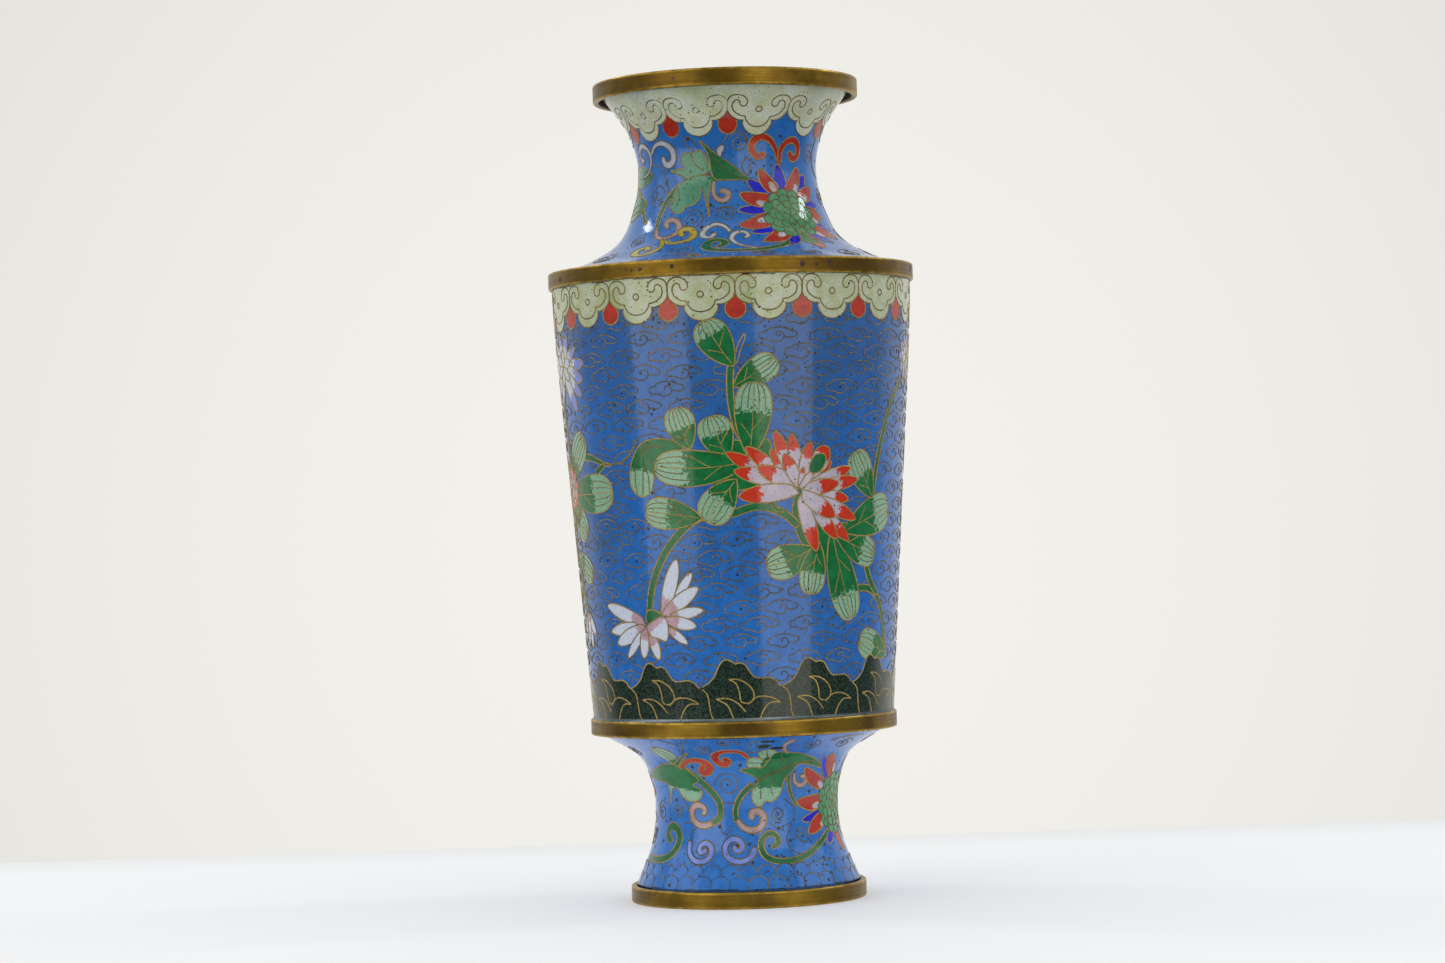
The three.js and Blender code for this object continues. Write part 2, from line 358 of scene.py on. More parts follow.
# Two tones, then a tip colour where there is one, and what differs from a plain enamel
ENAMEL_TONES = {
    "blue": (((0.016, 0.150, 0.52), (0.028, 0.185, 0.58)), dict(pits=0.24)),
    "sky": (((0.014, 0.130, 0.47), (0.024, 0.160, 0.53)), dict(pits=0.18, worn=0.4)),
    "celadon": (((0.52, 0.58, 0.44), (0.45, 0.50, 0.27)), dict(stain=(0.28, 0.36, 0.11), pits=0.1)),
    # A lighter copy of the celadon for the neck's collar: painted light, brightening the collar that the
    # lamps leave too dark.
    "lit_celadon": (((0.64, 0.70, 0.58), (0.60, 0.64, 0.40)), dict(stain=(0.36, 0.46, 0.17), pits=0.1)),
    "red": (((0.50, 0.032, 0.012), (0.39, 0.025, 0.012)), dict(pits=0.08)),
    "leaf": (((0.002, 0.130, 0.032), (0.007, 0.18, 0.05), (0.26, 0.46, 0.32)), dict(flecks=0.6)),
    "stem": (((0.008, 0.125, 0.04), (0.022, 0.165, 0.06)), {}),
    "jade": (((0.002, 0.135, 0.035), (0.008, 0.18, 0.055), (0.09, 0.31, 0.19)), dict(flecks=0.5)),
    "blossom": (((0.46, 0.41, 0.52), (0.54, 0.49, 0.58), (0.56, 0.034, 0.012)), {}),
    "lotus": (((0.42, 0.27, 0.33), (0.48, 0.33, 0.40), (0.56, 0.62, 0.75)), {}),
    "iris": (((0.50, 0.54, 0.56), (0.56, 0.60, 0.64), (0.20, 0.25, 0.66)), {}),
    "rock": (((0.003, 0.010, 0.007), (0.022, 0.050, 0.034)), dict(blotch=1.8, grain=0.6)),
    "cobalt": (((0.004, 0.006, 0.55), (0.008, 0.010, 0.64)), {}),
    "white": (((0.43, 0.47, 0.56), (0.50, 0.55, 0.65)), {}),
    "rose": (((0.40, 0.26, 0.27), (0.46, 0.33, 0.34)), {}),
    "lavender": (((0.14, 0.22, 0.68), (0.21, 0.30, 0.74)), {}),
    "yellow": (((0.44, 0.35, 0.035), (0.50, 0.42, 0.06)), {}),
    "pistil": (((0.04, 0.26, 0.09), (0.09, 0.32, 0.14)), {}),
    "scar": (((0.010, 0.008, 0.006), (0.035, 0.022, 0.012)), dict(blotch=1.0, grain=0.5)),
    "lining": (((0.02, 0.20, 0.46), (0.04, 0.27, 0.52)), dict(blotch=0.12)),
}
ENAMELS = {kind: enamel(kind + "_enamel", *tones, **rest) for kind, (tones, rest) in ENAMEL_TONES.items()}
ENAMELS["tarnish"] = tarnish_spot("tarnished_brass")
dict.fromkeys(("celadon", "lit_celadon", "leaf", "stem", "jade"), "pale_green_enamel")
BRASS = brass_band("aged_brass")
WIRE = cloison_wire("toned_wire")
COPPER = copper_sheet("copper")
# Bright metal for the enamel's rounded foot: a painted highlight line.
SEAM_HIGHLIGHT = seam_highlight_metal("solder")
# How golden the wire round each kind of cell is
TONES = {"pistil": 0.1, "lotus": 0.5, "white": 0.3, "rose": 0.5, "lavender": 0.2, "celadon": 0.4,
         "lit_celadon": 0.4, "yellow": 0.4}


# ---------------------------------------------------------------- meshes

def make_piece(name, points, faces, material, replaces=(), normals=None, shades=None):
    mesh = bpy.data.meshes.new(name)
    mesh.from_pydata(np.asarray(points).tolist(), [], faces)
    mesh.polygons.foreach_set("use_smooth", [True] * len(mesh.polygons))
    if shades is not None:
        mesh.attributes.new("shade", "FLOAT", "POINT").data.foreach_set("value",
            np.asarray(shades, np.float32))
    mesh.materials.append(material)
    mesh.update()
    if normals is not None:
        mesh.normals_split_custom_set_from_vertices(np.asarray(normals).tolist())
    piece = bpy.data.objects.new(name, mesh)
    bpy.context.scene.collection.objects.link(piece)
    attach(piece, "root")
    if replaces:
        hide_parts(*replaces)
    return piece


def rounded(corners, radius):
    """A closed section with its corners rounded."""
    points = []
    corners = [np.array(c, float) for c in corners]
    for before, corner, after in zip([corners[-1], *corners], corners, [*corners[1:], corners[0]]):
        a, b = before - corner, after - corner
        reach_a, reach_b = (min(radius, np.hypot(*v) * 0.45) / np.hypot(*v) for v in (a, b))
        start, end = corner + a * reach_a, corner + b * reach_b
        for t in np.linspace(0, 1, 4):
            points.append((1 - t) ** 2 * start + 2 * (1 - t) * t * corner + t**2 * end)
    return np.array(points)


def revolve(name, section, material, replaces=(), shades=None):
    """A closed section, as radius and height in millimetres, turned round the vase's axis."""
    count = len(section)
    angles = np.arange(SEGMENTS) * 2 * math.pi / SEGMENTS
    points = np.array([(r * math.sin(a), -r * math.cos(a), z) for a in angles for r, z in section]) * MM
    x, y = np.asarray(section, float).T
    clockwise = np.sum(x * np.roll(y, -1) - np.roll(x, -1) * y) < 0
    faces = []
    for i in range(SEGMENTS):
        j = (i + 1) % SEGMENTS
        for k in range(count):
            m = (k + 1) % count
            quad = (i * count + k, j * count + k, j * count + m, i * count + m)
            faces.append(quad[::-1] if clockwise else quad)
    if shades is not None:
        shades = np.tile(shades, SEGMENTS)
    return make_piece(name, points, faces, material, replaces, shades=shades)


def disc(name, radius, bottom, top, material, replaces):
    """A round plate with a slightly uneven face."""
    rings, segments = 10, 96

    def face(z, swell):
        return [(radius * i / rings, z + swell * math.cos(i * 1.7) * (1 - i / rings))
                for i in range(1, rings + 1)]

    section = [*face(bottom, 0.03), *face(top, 0.03)[::-1]]
    count = len(section)
    angles = np.arange(segments) * 2 * math.pi / segments
    points = [(r * math.sin(a), -r * math.cos(a), z) for a in angles for r, z in section]
    points += [(0, 0, bottom), (0, 0, top)]
    low, high = len(points) - 2, len(points) - 1
    faces = []
    for i in range(segments):
        j = (i + 1) % segments
        faces += [(i * count + k, j * count + k, j * count + k + 1,
                   i * count + k + 1) for k in range(count - 1)]
        faces += [(low, j * count, i * count), (high, i * count + count - 1, j * count + count - 1)]
    return make_piece(name, np.array(points) * MM, faces, material, replaces)


def brass_ring(node, ledge, ledge_at_top, ledge_reach):
    """A band round the vase, with the inner ledge that carries the wall above or below it."""
    low, high = (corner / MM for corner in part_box(node))
    radius, bottom, top = high.x, low.z, high.z
    wall = radius - BAND_THICKNESS
    inner = wall - ledge_reach
    outside = [(radius, bottom), (radius, top)]
    if ledge_at_top:
        corners = [(wall, bottom), *outside, (inner, top), (inner, top - ledge), (wall, top - ledge)]
    else:
        corners = [(inner, bottom), *outside, (wall, top), (wall, bottom + ledge), (inner, bottom + ledge)]
    section = dense(rounded(corners, BAND_ROUNDING), 0.5)
    # Shade for the brass: 1 near the outer edges for a painted highlight, 0 in the inner corners for painted
    # shade, 0.5 on the faces.
    to_edge = np.min([np.hypot(*(section - (radius, z)).T) for z in (bottom, top)], axis=0)
    middle, half = (bottom + top) / 2, (top - bottom) / 2
    corner = (section[:, 0] < wall + 0.2) & (abs(section[:, 1] - middle) < half - 0.3)
    shades = np.where(corner, 0.0, 0.5 + 0.5 * np.clip(1.25 - to_edge / 0.6, 0, 1))
    revolve(node + "_brass", section, BRASS, [node], shades)


def inset(curve, depth, low, high):
    """The outline moved into the wall, kept between two heights."""
    normal = -sideways(curve)
    moved = curve - normal * depth
    moved[:, 1] = np.clip(moved[:, 1], low, high)
    return moved


def wall_shell(name, outline, near, far, low, high, material, replaces):
    curve = spaced(spline(outline, 24), 1.2)
    section = np.vstack([inset(curve, near, low, high), inset(curve, far, low, high)[::-1]])
    revolve(name, section, material, replaces)


# ---------------------------------------------------------------- charts

class Chart:
    """A drawing on a surface of revolution: x runs round it, in mm at the radius `unroll`, and y runs up
    its outline. It is cut open at x = seam, where no motif crosses."""

    def __init__(self, name, outline, unroll, seam):
        curve = spline(outline, 48)
        self.name, self.unroll, self.seam = name, unroll, seam
        self.s, self.curve, self.normal = lengths(curve), curve, -sideways(curve)
        self.height, self.turn = self.s[-1], 2 * math.pi * unroll
        self.cells, self.wires = [], []
        self.shift = 0.0

    def move(self, shift=0.0):
        """Draw what follows moved round the vase."""
        self.shift = shift

    def moved(self, points):
        return np.asarray(points, float) + (self.shift, 0)

    def cell(self, outline, kind, shade=None, wire=WIRE_WIDTH):
        """A field of one enamel, over what is drawn already, with a wire round it."""
        outline = dense(np.asarray(outline, float))
        placed = self.moved(outline)
        wrap = self.turn * math.floor((placed[:, 0].mean() - self.seam) / self.turn)
        values = shade or (lambda p: np.zeros(len(p)))
        shift = self.shift - wrap
        self.cells.append((placed - (wrap, 0), kind, lambda p: values(p - (shift, 0))))
        if wire:
            self.line(np.vstack([outline, outline[:1]]), wire, TONES.get(kind, GOLDEN))

    def line(self, points, width=WIRE_WIDTH, tone=GOLDEN):
        self.wires.append((self.moved(points), width, len(self.cells), tone))

    def map_cells(self):
        """A raster of the number of the topmost cell."""
        wide, high = int(self.turn / RASTER) + 1, int(self.height / RASTER) + 2
        self.top = np.zeros((high, wide), int)
        for number, (outline, *_) in enumerate(self.cells, 1):
            low = np.floor(outline.min(0) / RASTER).astype(int)
            past = np.ceil(outline.max(0) / RASTER).astype(int) + 1
            xs, ys = np.meshgrid(np.arange(low[0], past[0]), np.arange(low[1], past[1]))
            points = np.column_stack([xs.ravel(), ys.ravel()])
            points = points[inside(outline, points * RASTER)]
            self.top[np.clip(points[:, 1], 0, high - 1), points[:, 0] % wide] = number

    def look(self, points):
        """The number of the topmost cell at each point."""
        columns = np.round(points[:, 0] / RASTER).astype(int) % self.top.shape[1]
        rows = np.clip(np.round(points[:, 1] / RASTER).astype(int), 0, self.top.shape[0] - 1)
        return self.top[rows, columns]

    def lay(self, points, lift):
        """Places in metres, and normals, of chart points lifted off the surface."""
        x, y = points.T
        angle = x / self.unroll
        radius, height = (np.interp(y, self.s, self.curve[:, k]) for k in (0, 1))
        out, up = (np.interp(y, self.s, self.normal[:, k]) for k in (0, 1))
        sine, cosine = np.sin(angle), -np.cos(angle)
        reach = radius + lift * out
        place = np.column_stack([reach * sine, reach * cosine, height + lift * up]) * MM
        return place, np.column_stack([out * sine, out * cosine, up])

    def tile(self, step=1.7, margin=0.35):
        """Triangles small enough to follow the surface, whose edges run along every cell's outline."""
        outlines = [cell[0] for cell in self.cells]
        corners = np.vstack(outlines)
        across = np.arange(self.seam - 10, self.seam + self.turn + 10, step)
        xs, ys = np.meshgrid(across, np.arange(0.8, self.height, step))
        seeds = np.column_stack([xs.ravel(), ys.ravel()])
        seeds = seeds[self.look(seeds) > 0]
        near = set()
        for i in (-1, 0, 1):
            for j in (-1, 0, 1):
                near.update(map(tuple, (np.floor(corners / margin).astype(int) + (i, j)).tolist()))
        seeds = seeds[[tuple(p) not in near for p in np.floor(seeds / margin).astype(int).tolist()]]
        ends = np.cumsum([len(o) for o in outlines])
        loops = [list(range(end - len(o), end)) for o, end in zip(outlines, ends)]
        points = [Vector(p) for p in np.vstack([corners, seeds]).tolist()]
        found = delaunay_2d_cdt(points, [], loops, 1, 1e-4, False)
        flat = np.array([tuple(v) for v in found[0]])
        triangles = np.array(found[2], int)
        a, b, c = (flat[triangles[:, k]] for k in range(3))
        area = (b - a)[:, 0] * (c - a)[:, 1] - (b - a)[:, 1] * (c - a)[:, 0]
        triangles[area < 0] = triangles[area < 0][:, ::-1]
        return flat, triangles[np.abs(area) > 1e-7]

    def build_cells(self, replaces):
        """One piece for each kind of enamel, of thin inlays that fit edge to edge, each closed all round."""
        flat, triangles = self.tile()
        centres = flat[triangles].mean(axis=1)
        owner = np.zeros(len(triangles), int)
        for number, (outline, *_) in enumerate(self.cells, 1):
            near = np.flatnonzero(((centres > outline.min(0)) & (centres < outline.max(0))).all(axis=1))
            owner[near[inside(outline, centres[near])]] = number
        parts = {}
        for number, (_, kind, values) in enumerate(self.cells, 1):
            own = triangles[owner == number]
            if not len(own):
                continue
            used, own = np.unique(own, return_inverse=True)
            own = own.reshape(-1, 3)
            top, normal = self.lay(flat[used], CELL_LIFT)
            root, _ = self.lay(flat[used], CELL_ROOT)
            edges = np.vstack([own[:, [0, 1]], own[:, [1, 2]], own[:, [2, 0]]])
            inner = set(map(tuple, edges[:, ::-1].tolist()))
            rim = [e for e in edges.tolist() if tuple(e) not in inner]
            part = parts.setdefault(kind, {"points": [], "faces": [], "normals": [], "shades": [],
                "count": 0})
            first, size = part["count"], len(used)
            part["faces"] += (own + first).tolist()
            part["faces"] += (own[:, ::-1] + first + size).tolist()
            part["faces"] += [[b + first, a + first, a + first + size, b + first + size] for a, b in rim]
            part["points"] += [top, root]
            part["normals"] += [normal, normal]
            part["shades"] += [np.tile(values(flat[used]), 2)]
            part["count"] += 2 * size
        for kind, part in parts.items():
            make_piece(f"{self.name}_{kind}_cells", np.vstack(part["points"]), part["faces"], ENAMELS[kind],
                       replaces.get(kind, ()), np.vstack(part["normals"]),
                       np.concatenate(part["shades"]))

    def strip(self, points, width):
        """Points and faces of one flat wire laid along chart points."""
        stretch = self.unroll / np.interp(points[:, 1], self.s, self.curve[:, 0])
        true = points / np.column_stack([stretch, np.ones(len(points))])
        closed = np.hypot(*(true[0] - true[-1])) < 0.05 and len(points) > 3
        if closed:
            points, true, stretch = points[:-1], true[:-1], stretch[:-1]
            d = np.roll(true, -1, axis=0) - np.roll(true, 1, axis=0)
        else:
            d = np.gradient(true, axis=0)
        d /= np.hypot(*d.T)[:, None] + 1e-9
        side = np.column_stack([-d[:, 1] * stretch, d[:, 0]]) * width
        rows = [self.lay(points + side * share, lift)[0]
                for share, lift in ((-0.5, WIRE_ROOT), (-0.34, WIRE_TOP), (0.34, WIRE_TOP),
                    (0.5, WIRE_ROOT))]
        count = len(points)
        faces = []
        for i in range(count if closed else count - 1):
            j = (i + 1) % count
            faces += [(4 * i + k, 4 * j + k, 4 * j + (k + 1) % 4, 4 * i + (k + 1) % 4) for k in range(4)]
        if not closed:
            faces += [(0, 1, 2, 3), tuple(4 * (count - 1) + k for k in (3, 2, 1, 0))]
        return np.stack(rows, axis=1).reshape(-1, 3), faces

    def build_wires(self, name, replaces, step=0.6):
        """Every wire that no later cell covers, cut where one does."""
        points, faces, tones, count = [], [], [], 0
        for line, width, owner, tone in self.wires:
            curve = spaced(line, step)
            shown = self.look(curve) <= owner
            if shown.all():
                runs = [curve]
            else:
                ends = np.flatnonzero(np.diff(np.r_[0, shown, 0]))
                runs = [curve[a:b] for a, b in zip(ends[::2], ends[1::2]) if b - a > 1]
            for run in runs:
                run_points, run_faces = self.strip(run, width)
                points.append(run_points)
                faces += [tuple(i + count for i in face) for face in run_faces]
                tones += [tone] * len(run_points)
                count += len(run_points)
        self.wires = []
        make_piece(name, np.vstack(points), faces, WIRE, replaces, shades=tones)


# ---------------------------------------------------------------- motifs

def towards(base, tip, share):
    """Shade that passes 0.5 at a share of the way from base to tip."""
    base, along = np.array(base, float), np.array(tip, float) - np.array(base, float)
    return lambda p: 0.5 + ((p - base) @ along) / (along @ along) - share


def leaf(chart, base, bend, tip, half_width, share, ribs=(-0.64, -0.3, 0.3, 0.64), branches=True,
         kind="leaf"):
    """A leaf with a pale round tip where its ribs run together, and a midrib with branches below it."""
    chart.cell(blade(base, bend, tip, half_width, leaf_width), kind, towards(base, tip, share))

    def vein(start, end, across_start, across_end, tone=GOLDEN):
        t = np.linspace(start, end, 12)
        centre = midrib(base, bend, tip, t)
        across = np.linspace(across_start, across_end, 12) * leaf_width(t) * half_width
        chart.line(centre + sideways(centre) * across[:, None], VEIN_WIRE, tone)

    for across in ribs:
        vein(share + rng.uniform(-0.14, 0.04), 0.985, across, across, DARK)
    if branches:
        vein(0.06, 0.985, 0.0, 0.0)
        vein(0.42 * share, 0.42 * share + 0.2, 0.0, 0.72)
        vein(0.6 * share, 0.6 * share + 0.22, 0.0, -0.72)


def pock(chart, x, y, largest=0.5):
    """A small dark pit in the enamel."""
    size = rng.uniform(0.4, 1.0) * largest
    corners = [(x + size * rng.uniform(0.7, 1) * math.cos(a), y + size * rng.uniform(0.7, 1) * math.sin(a))
               for a in range(6)]
    chart.cell(loop(corners, 2), "scar", wire=None)


def grime(chart, y, count, thickness):
    """A broken dark line of solder and dirt along a joint."""
    for number in range(count):
        start = chart.turn * (number + rng.uniform(0, 0.5)) / count
        length = chart.turn / count * rng.uniform(0.3, 0.9)
        under, over = ([(start + length * u, y + side * thickness * rng.uniform(0.2, 1))
                        for u in np.linspace(0, 1, 7)] for side in (-1, 1))
        chart.cell(loop([*under, *over[::-1]], 3), "scar", wire=None)


def shape(chart, kind, points, shade=None, steps=5):
    chart.cell(loop(points, steps), kind, shade)


NO_TIP = 9  # a share so large that a petal has one colour


def petal(chart, base, tip, half_width, share, kind, bend=0.0, width_at=petal_width):
    chart.cell(blade(base, bend, tip, half_width, width_at, 14), kind, towards(base, tip, share))


def petals(chart, kind, rows):
    """Petals given as base, tip, half width and share of the first colour."""
    for *ends, half_width, share in rows:
        petal(chart, ends[:2], ends[2:], half_width, share, kind)


def fan(chart, kind, base, share, tips):
    """Petals from one base, given as tip and half width."""
    for x, y, half_width in tips:
        petal(chart, base, (x, y), half_width, share, kind)


def leaves(chart, rows):
    """Leaves given as base, bend, tip, half width and share that is dark green."""
    for x, y, bend, tip_x, tip_y, half_width, share in rows:
        leaf(chart, (x, y), bend, (tip_x, tip_y), half_width, share)


def petal_ring(chart, kind, centre, inner, reach, half_width, share, angles):
    """Petals from a small circle out to an ellipse whose half axes are `reach`."""
    for angle in angles:
        way = np.array([math.cos(math.radians(angle)), math.sin(math.radians(angle))])
        petal(chart, centre + inner * way, centre + reach * way, half_width, share, kind)


def scrolls(chart, table):
    for kind, start, end, points in table:
        chart.cell(ribbon(points, start, end, full=1.2 * start), kind)


def stem(chart, points, start, end=None):
    chart.cell(ribbon(points, start, end or start), "stem")


def tendril(chart, points, width=THIN_WIRE):
    chart.line(spline(points, 8), width, OLIVE)


def tendrils(chart, *lines):
    for line in lines:
        tendril(chart, line)


def ground_spirals(chart, turns, places):
    """Thin spirals in the ground, each round a pit: centre, radius, start angle and way round."""
    for x, y, radius, angle, way in places:
        chart.line(spiral((x, y), radius, turns, angle, way), THIN_WIRE, OLIVE)
        pock(chart, x, y)


# A cloud: its wire starts in the curl and runs round under, up, over the top and back along the tail
CLOUD = pairs([-0.5,-0.4, -0.6,0.4, 0.2,0.8, 1.1,0.5, 1.5,-0.4, 1.2,-1.4, 0.3,-2.1, -1.1,-2.2, -2.2,-1.7,
               -3,-1.5, -4.4,-1.4, -5,-0.5, -4.6,0.5, -3.4,0.7, -2.7,1.4, -1,1.9, 1.3,1.9, 3.1,1.3, 5,0.4,
               4.5,-0.6, 3.2,-0.9, 1.5,-0.6])
CLOUD_ROW, CLOUDS_ROUND = 4.6, 24


def clouds(chart, low, high):
    """Rows of clouds wherever the ground shows, with small rings where a whole one doesn't fit."""
    pitch = chart.turn / CLOUDS_ROUND
    for row in range(int((high - low) / CLOUD_ROW) + 1):
        for place in range(CLOUDS_ROUND):
            x = (place + 0.5 * (row % 2)) * pitch + rng.uniform(-0.7, 0.7)
            y = low + row * CLOUD_ROW + rng.uniform(-0.3, 0.3)
            size = rng.uniform(0.92, 1.06)
            shape = [(x + size * u + rng.uniform(-0.12, 0.12), y + size * v * 0.92 + rng.uniform(-0.1, 0.1))
                     for u, v in CLOUD]
            curve = spline(shape, 4)
            covered = (chart.look(curve) > 0) | (curve[:, 1] > chart.height - 9)
            if covered.mean() < 0.55:
                chart.wires.append((curve, THIN_WIRE, 0, DARK))
                if rng.random() < 0.3:
                    pock(chart, *shape[0], 0.45)
                if rng.random() < 0.25:
                    pock(chart, *rng.choice(curve.tolist()), 0.35)
            else:
                small_ring(chart, x + rng.uniform(-3, 3), y)


def small_ring(chart, x, y):
    wide, tall = rng.uniform(1.5, 2.4), rng.uniform(0.7, 1.2)
    ring = loop([(x - wide, y), (x, y + tall), (x + wide, y + 0.2), (x, y - tall)], 6)
    if not (chart.look(ring) > 0).any():
        chart.wires.append((np.vstack([ring, ring[:1]]), THIN_WIRE, 0, DARK))


# Right half of a cloud-collar head, from its lobe's lowest point up to its neighbour at x = 1.
# x is in halves of the pitch, y in millimetres above the joint.
LOBE = pairs([0,-7.5, 0.235,-7, 0.41,-5.8, 0.505,-4.1, 0.475,-3.1])
SHOULDER = pairs([0.475,-3.1, 0.61,-3.2, 0.79,-2.6, 0.94,-1.4, 1,0])
OUTER_CURL = pairs([1,0, 1,2.2, 0.92,3.8, 0.74,4.5, 0.54,4.2, 0.40,3, 0.39,1.6, 0.48,0.9, 0.59,1.2, 0.61,2])
INNER_CURL = pairs([0.61,2, 0.62,2.5, 0.71,2.9, 0.81,2.3, 0.85,1, 0.79,-0.6, 0.60,-1.8, 0.42,-2.1])
INNER_LOBE = pairs([0.42,-2.1, 0.40,-2.9, 0.29,-4.2, 0.14,-4.9, 0,-5])

DROP = pairs([0,0.2, 1.5,-2.2, 2.6,-4, 2,-6.2, 0,-7.2, -2,-6.2, -2.6,-4, -1.5,-2.2])


def collar(chart, kind, heads, phase, squeeze, joint, bare=()):
    """A border of cloud-collar heads hanging from the top edge, with a red drop at each joint."""
    def place(number):
        return phase + chart.turn * number / heads - squeeze * math.sin(2 * math.pi * number / heads)

    for number in range(heads):
        if number not in bare:
            x = place(number)
            chart.cell(loop([(x + u, joint + v) for u, v in DROP], 6), "red")
    for number in range(heads):
        start, end = place(number), place(number + 1)
        centre, half = (start + end) / 2, (end - start) / 2
        sway = [rng.uniform(-0.25, 0.25) for _ in range(4)]

        def placed(points, side):
            return [(centre + side * half * u + sway[0] * (1 - u), joint + v + sway[1] * (1 - u))
                    for u, v in points]

        def edge(side):
            return np.vstack([spline(placed(LOBE, side), 6), spline(placed(SHOULDER, side), 6)])
        lower = np.vstack([edge(-1)[::-1], edge(1)[1:]])
        chart.cell(np.vstack([lower, [(end, chart.height), (start, chart.height)]]), kind, wire=None)
        chart.line(lower, tone=TONES[kind])
        for side in (-1, 1):
            for curve in (OUTER_CURL, INNER_CURL, INNER_LOBE):
                tendril(chart, placed(curve, side), WIRE_WIDTH)
        ring = spiral((centre + sway[2], joint - 0.1 + sway[3]), 0.85, 1, 90, inner=1)
        chart.line(ring, tone=OLIVE)
        for spot in (INNER_CURL[0], OUTER_CURL[6], INNER_LOBE[2], LOBE[1]):
            if rng.random() < 0.35:
                pock(chart, *placed([spot], rng.choice((-1, 1)))[0], 0.5)


# Stems of the main spray: points and half width
SPRAY_STEMS = [
    ([3.2,73, 0.6,79, -0.8,86, -0.9,93, -0.2,99], 0.85),
    ([17.2,62, 16,57, 16.8,51.5, 20.5,45.5, 25,42.5], 1),
    ([16,53, 11.5,56.5, 5,58, -2,56.2, -9,56, -15,52.5, -21,46, -25.4,38, -27.4,29.5], 1),
    ([57,93, 50.5,85.5, 46.5,77, 43.8,68, 42.2,58], 0.8),
    ([37.5,35, 42,34.6, 46.5,32, 50,26, 52,17], 0.9),
    ([40.3,41, 42.5,36.8, 46,33], 0.9),
]
# Its leaves: base, bend, tip, half width, share that is dark green
SPRAY_LEAVES = [
    (0.2,96, 0.8, -7,108.4, 4.3, 0.72),
    (-0.2,90.5, -0.6, 10.8,98, 3.7, 0.58),
    (3.6,71, -0.4, 5.2,91.6, 4.8, 0.62),
    (-12,74, 0.4, -15.6,85.2, 4, 0.52),
    (-2,71, 0.6, -6.4,82.6, 4.4, 0.60),
    (4,70.5, 2.6, -22.4,69.8, 4.9, 0.68),
    (0,65.5, -0.6, -8.4,54.2, 4.6, 0.48),
    (-9.6,55.2, -0.3, -26.2,57.6, 4.2, 0.58),
    (21,46.5, 1.4, 7.6,41.6, 4.5, 0.62),
    (23,48, -0.8, 20.4,33.8, 3.9, 0.60),
    (27,51, -0.8, 34.8,26.6, 5, 0.72),
    (28.5,49.5, -0.6, 44.2,43.6, 4.2, 0.64),
    (31,50.5, 0.6, 51.4,57.2, 5.2, 0.64),
    (42.6,59.5, 0.7, 34.6,72.2, 4.3, 0.52),
    (53.5,16.5, 0.8, 38.3,21, 4.2, 0.56),
]
# Petals of the blossom, back to front: base, tip, half width, share that is pale
BLOSSOM = [
    (12,64.5, -2.6,72.8, 1.9, 0.62), (14,64, 2.6,74.2, 1.9, 0.58), (15.5,64, 9.1,73.4, 1.7, 0.62),
    (16,64, 10.3,78.2, 1.9, 0.62), (17.2,64, 14.7,77.4, 1.8, 0.68), (17.6,64, 20.2,75.2, 1.8, 0.62),
    (18,63, 26.6,69.8, 1.7, 0.66), (19,63, 33.2,68, 1.8, 0.70), (20.5,62.4, 35.9,64.8, 1.9, 0.60),
    (20.5,60.8, 32.6,59.4, 1.8, 0.62), (20.5,60.4, 35.4,53.8, 2, 0.62), (21,58.5, 33,48, 1.9, 0.64),
    (19.5,59.5, 28.8,48.6, 1.9, 0.62), (14.8,64.2, -0.7,67.8, 2.2, 0.72), (16.8,63.2, 5.6,68.6, 2.2, 0.60),
    (17,63, 12.8,72, 1.8, 0.60), (17,62.2, 0.4,60.8, 2.5, 0.62), (17.2,62, 29.2,63.8, 2, 0.52),
    (17,61.2, 22.2,45.4, 2.2, 0.60), (17.2,61.6, 28,54.6, 2.3, 0.62), (17,62.6, 18.2,68.4, 0.8, 0.70),
    (17,62.4, 21.6,67.6, 1, 0.80),
]
# Petals of the lotus: base, tip, half width, share that is pink
LOTUS = [
    (-28.5,27, -44.4,32.2, 1.9, 0.34), (-31,26.6, -43.4,24.8, 1.6, 0.10), (-28.5,26.4, -40.9,21.4, 2, 0.32),
    (-30,25, -36.7,17.6, 1.3, 0.10), (-29.3,26, -30.4,17.4, 1.6, 0.42), (-27.6,25.4, -25,17, 1.5, 0.50),
    (-22.8,29, -17.6,44.4, 2.1, 0.30), (-19,33, -13.3,40.6, 1.3, 0.05), (-23,28.8, -11.7,36.6, 2, 0.38),
    (-20.5,28.8, -10.5,30.4, 1.5, 0.24), (-22.5,28, -12.8,26, 1.7, 0.46), (-22,26, -15.6,21.2, 1.2, 0.46),
]


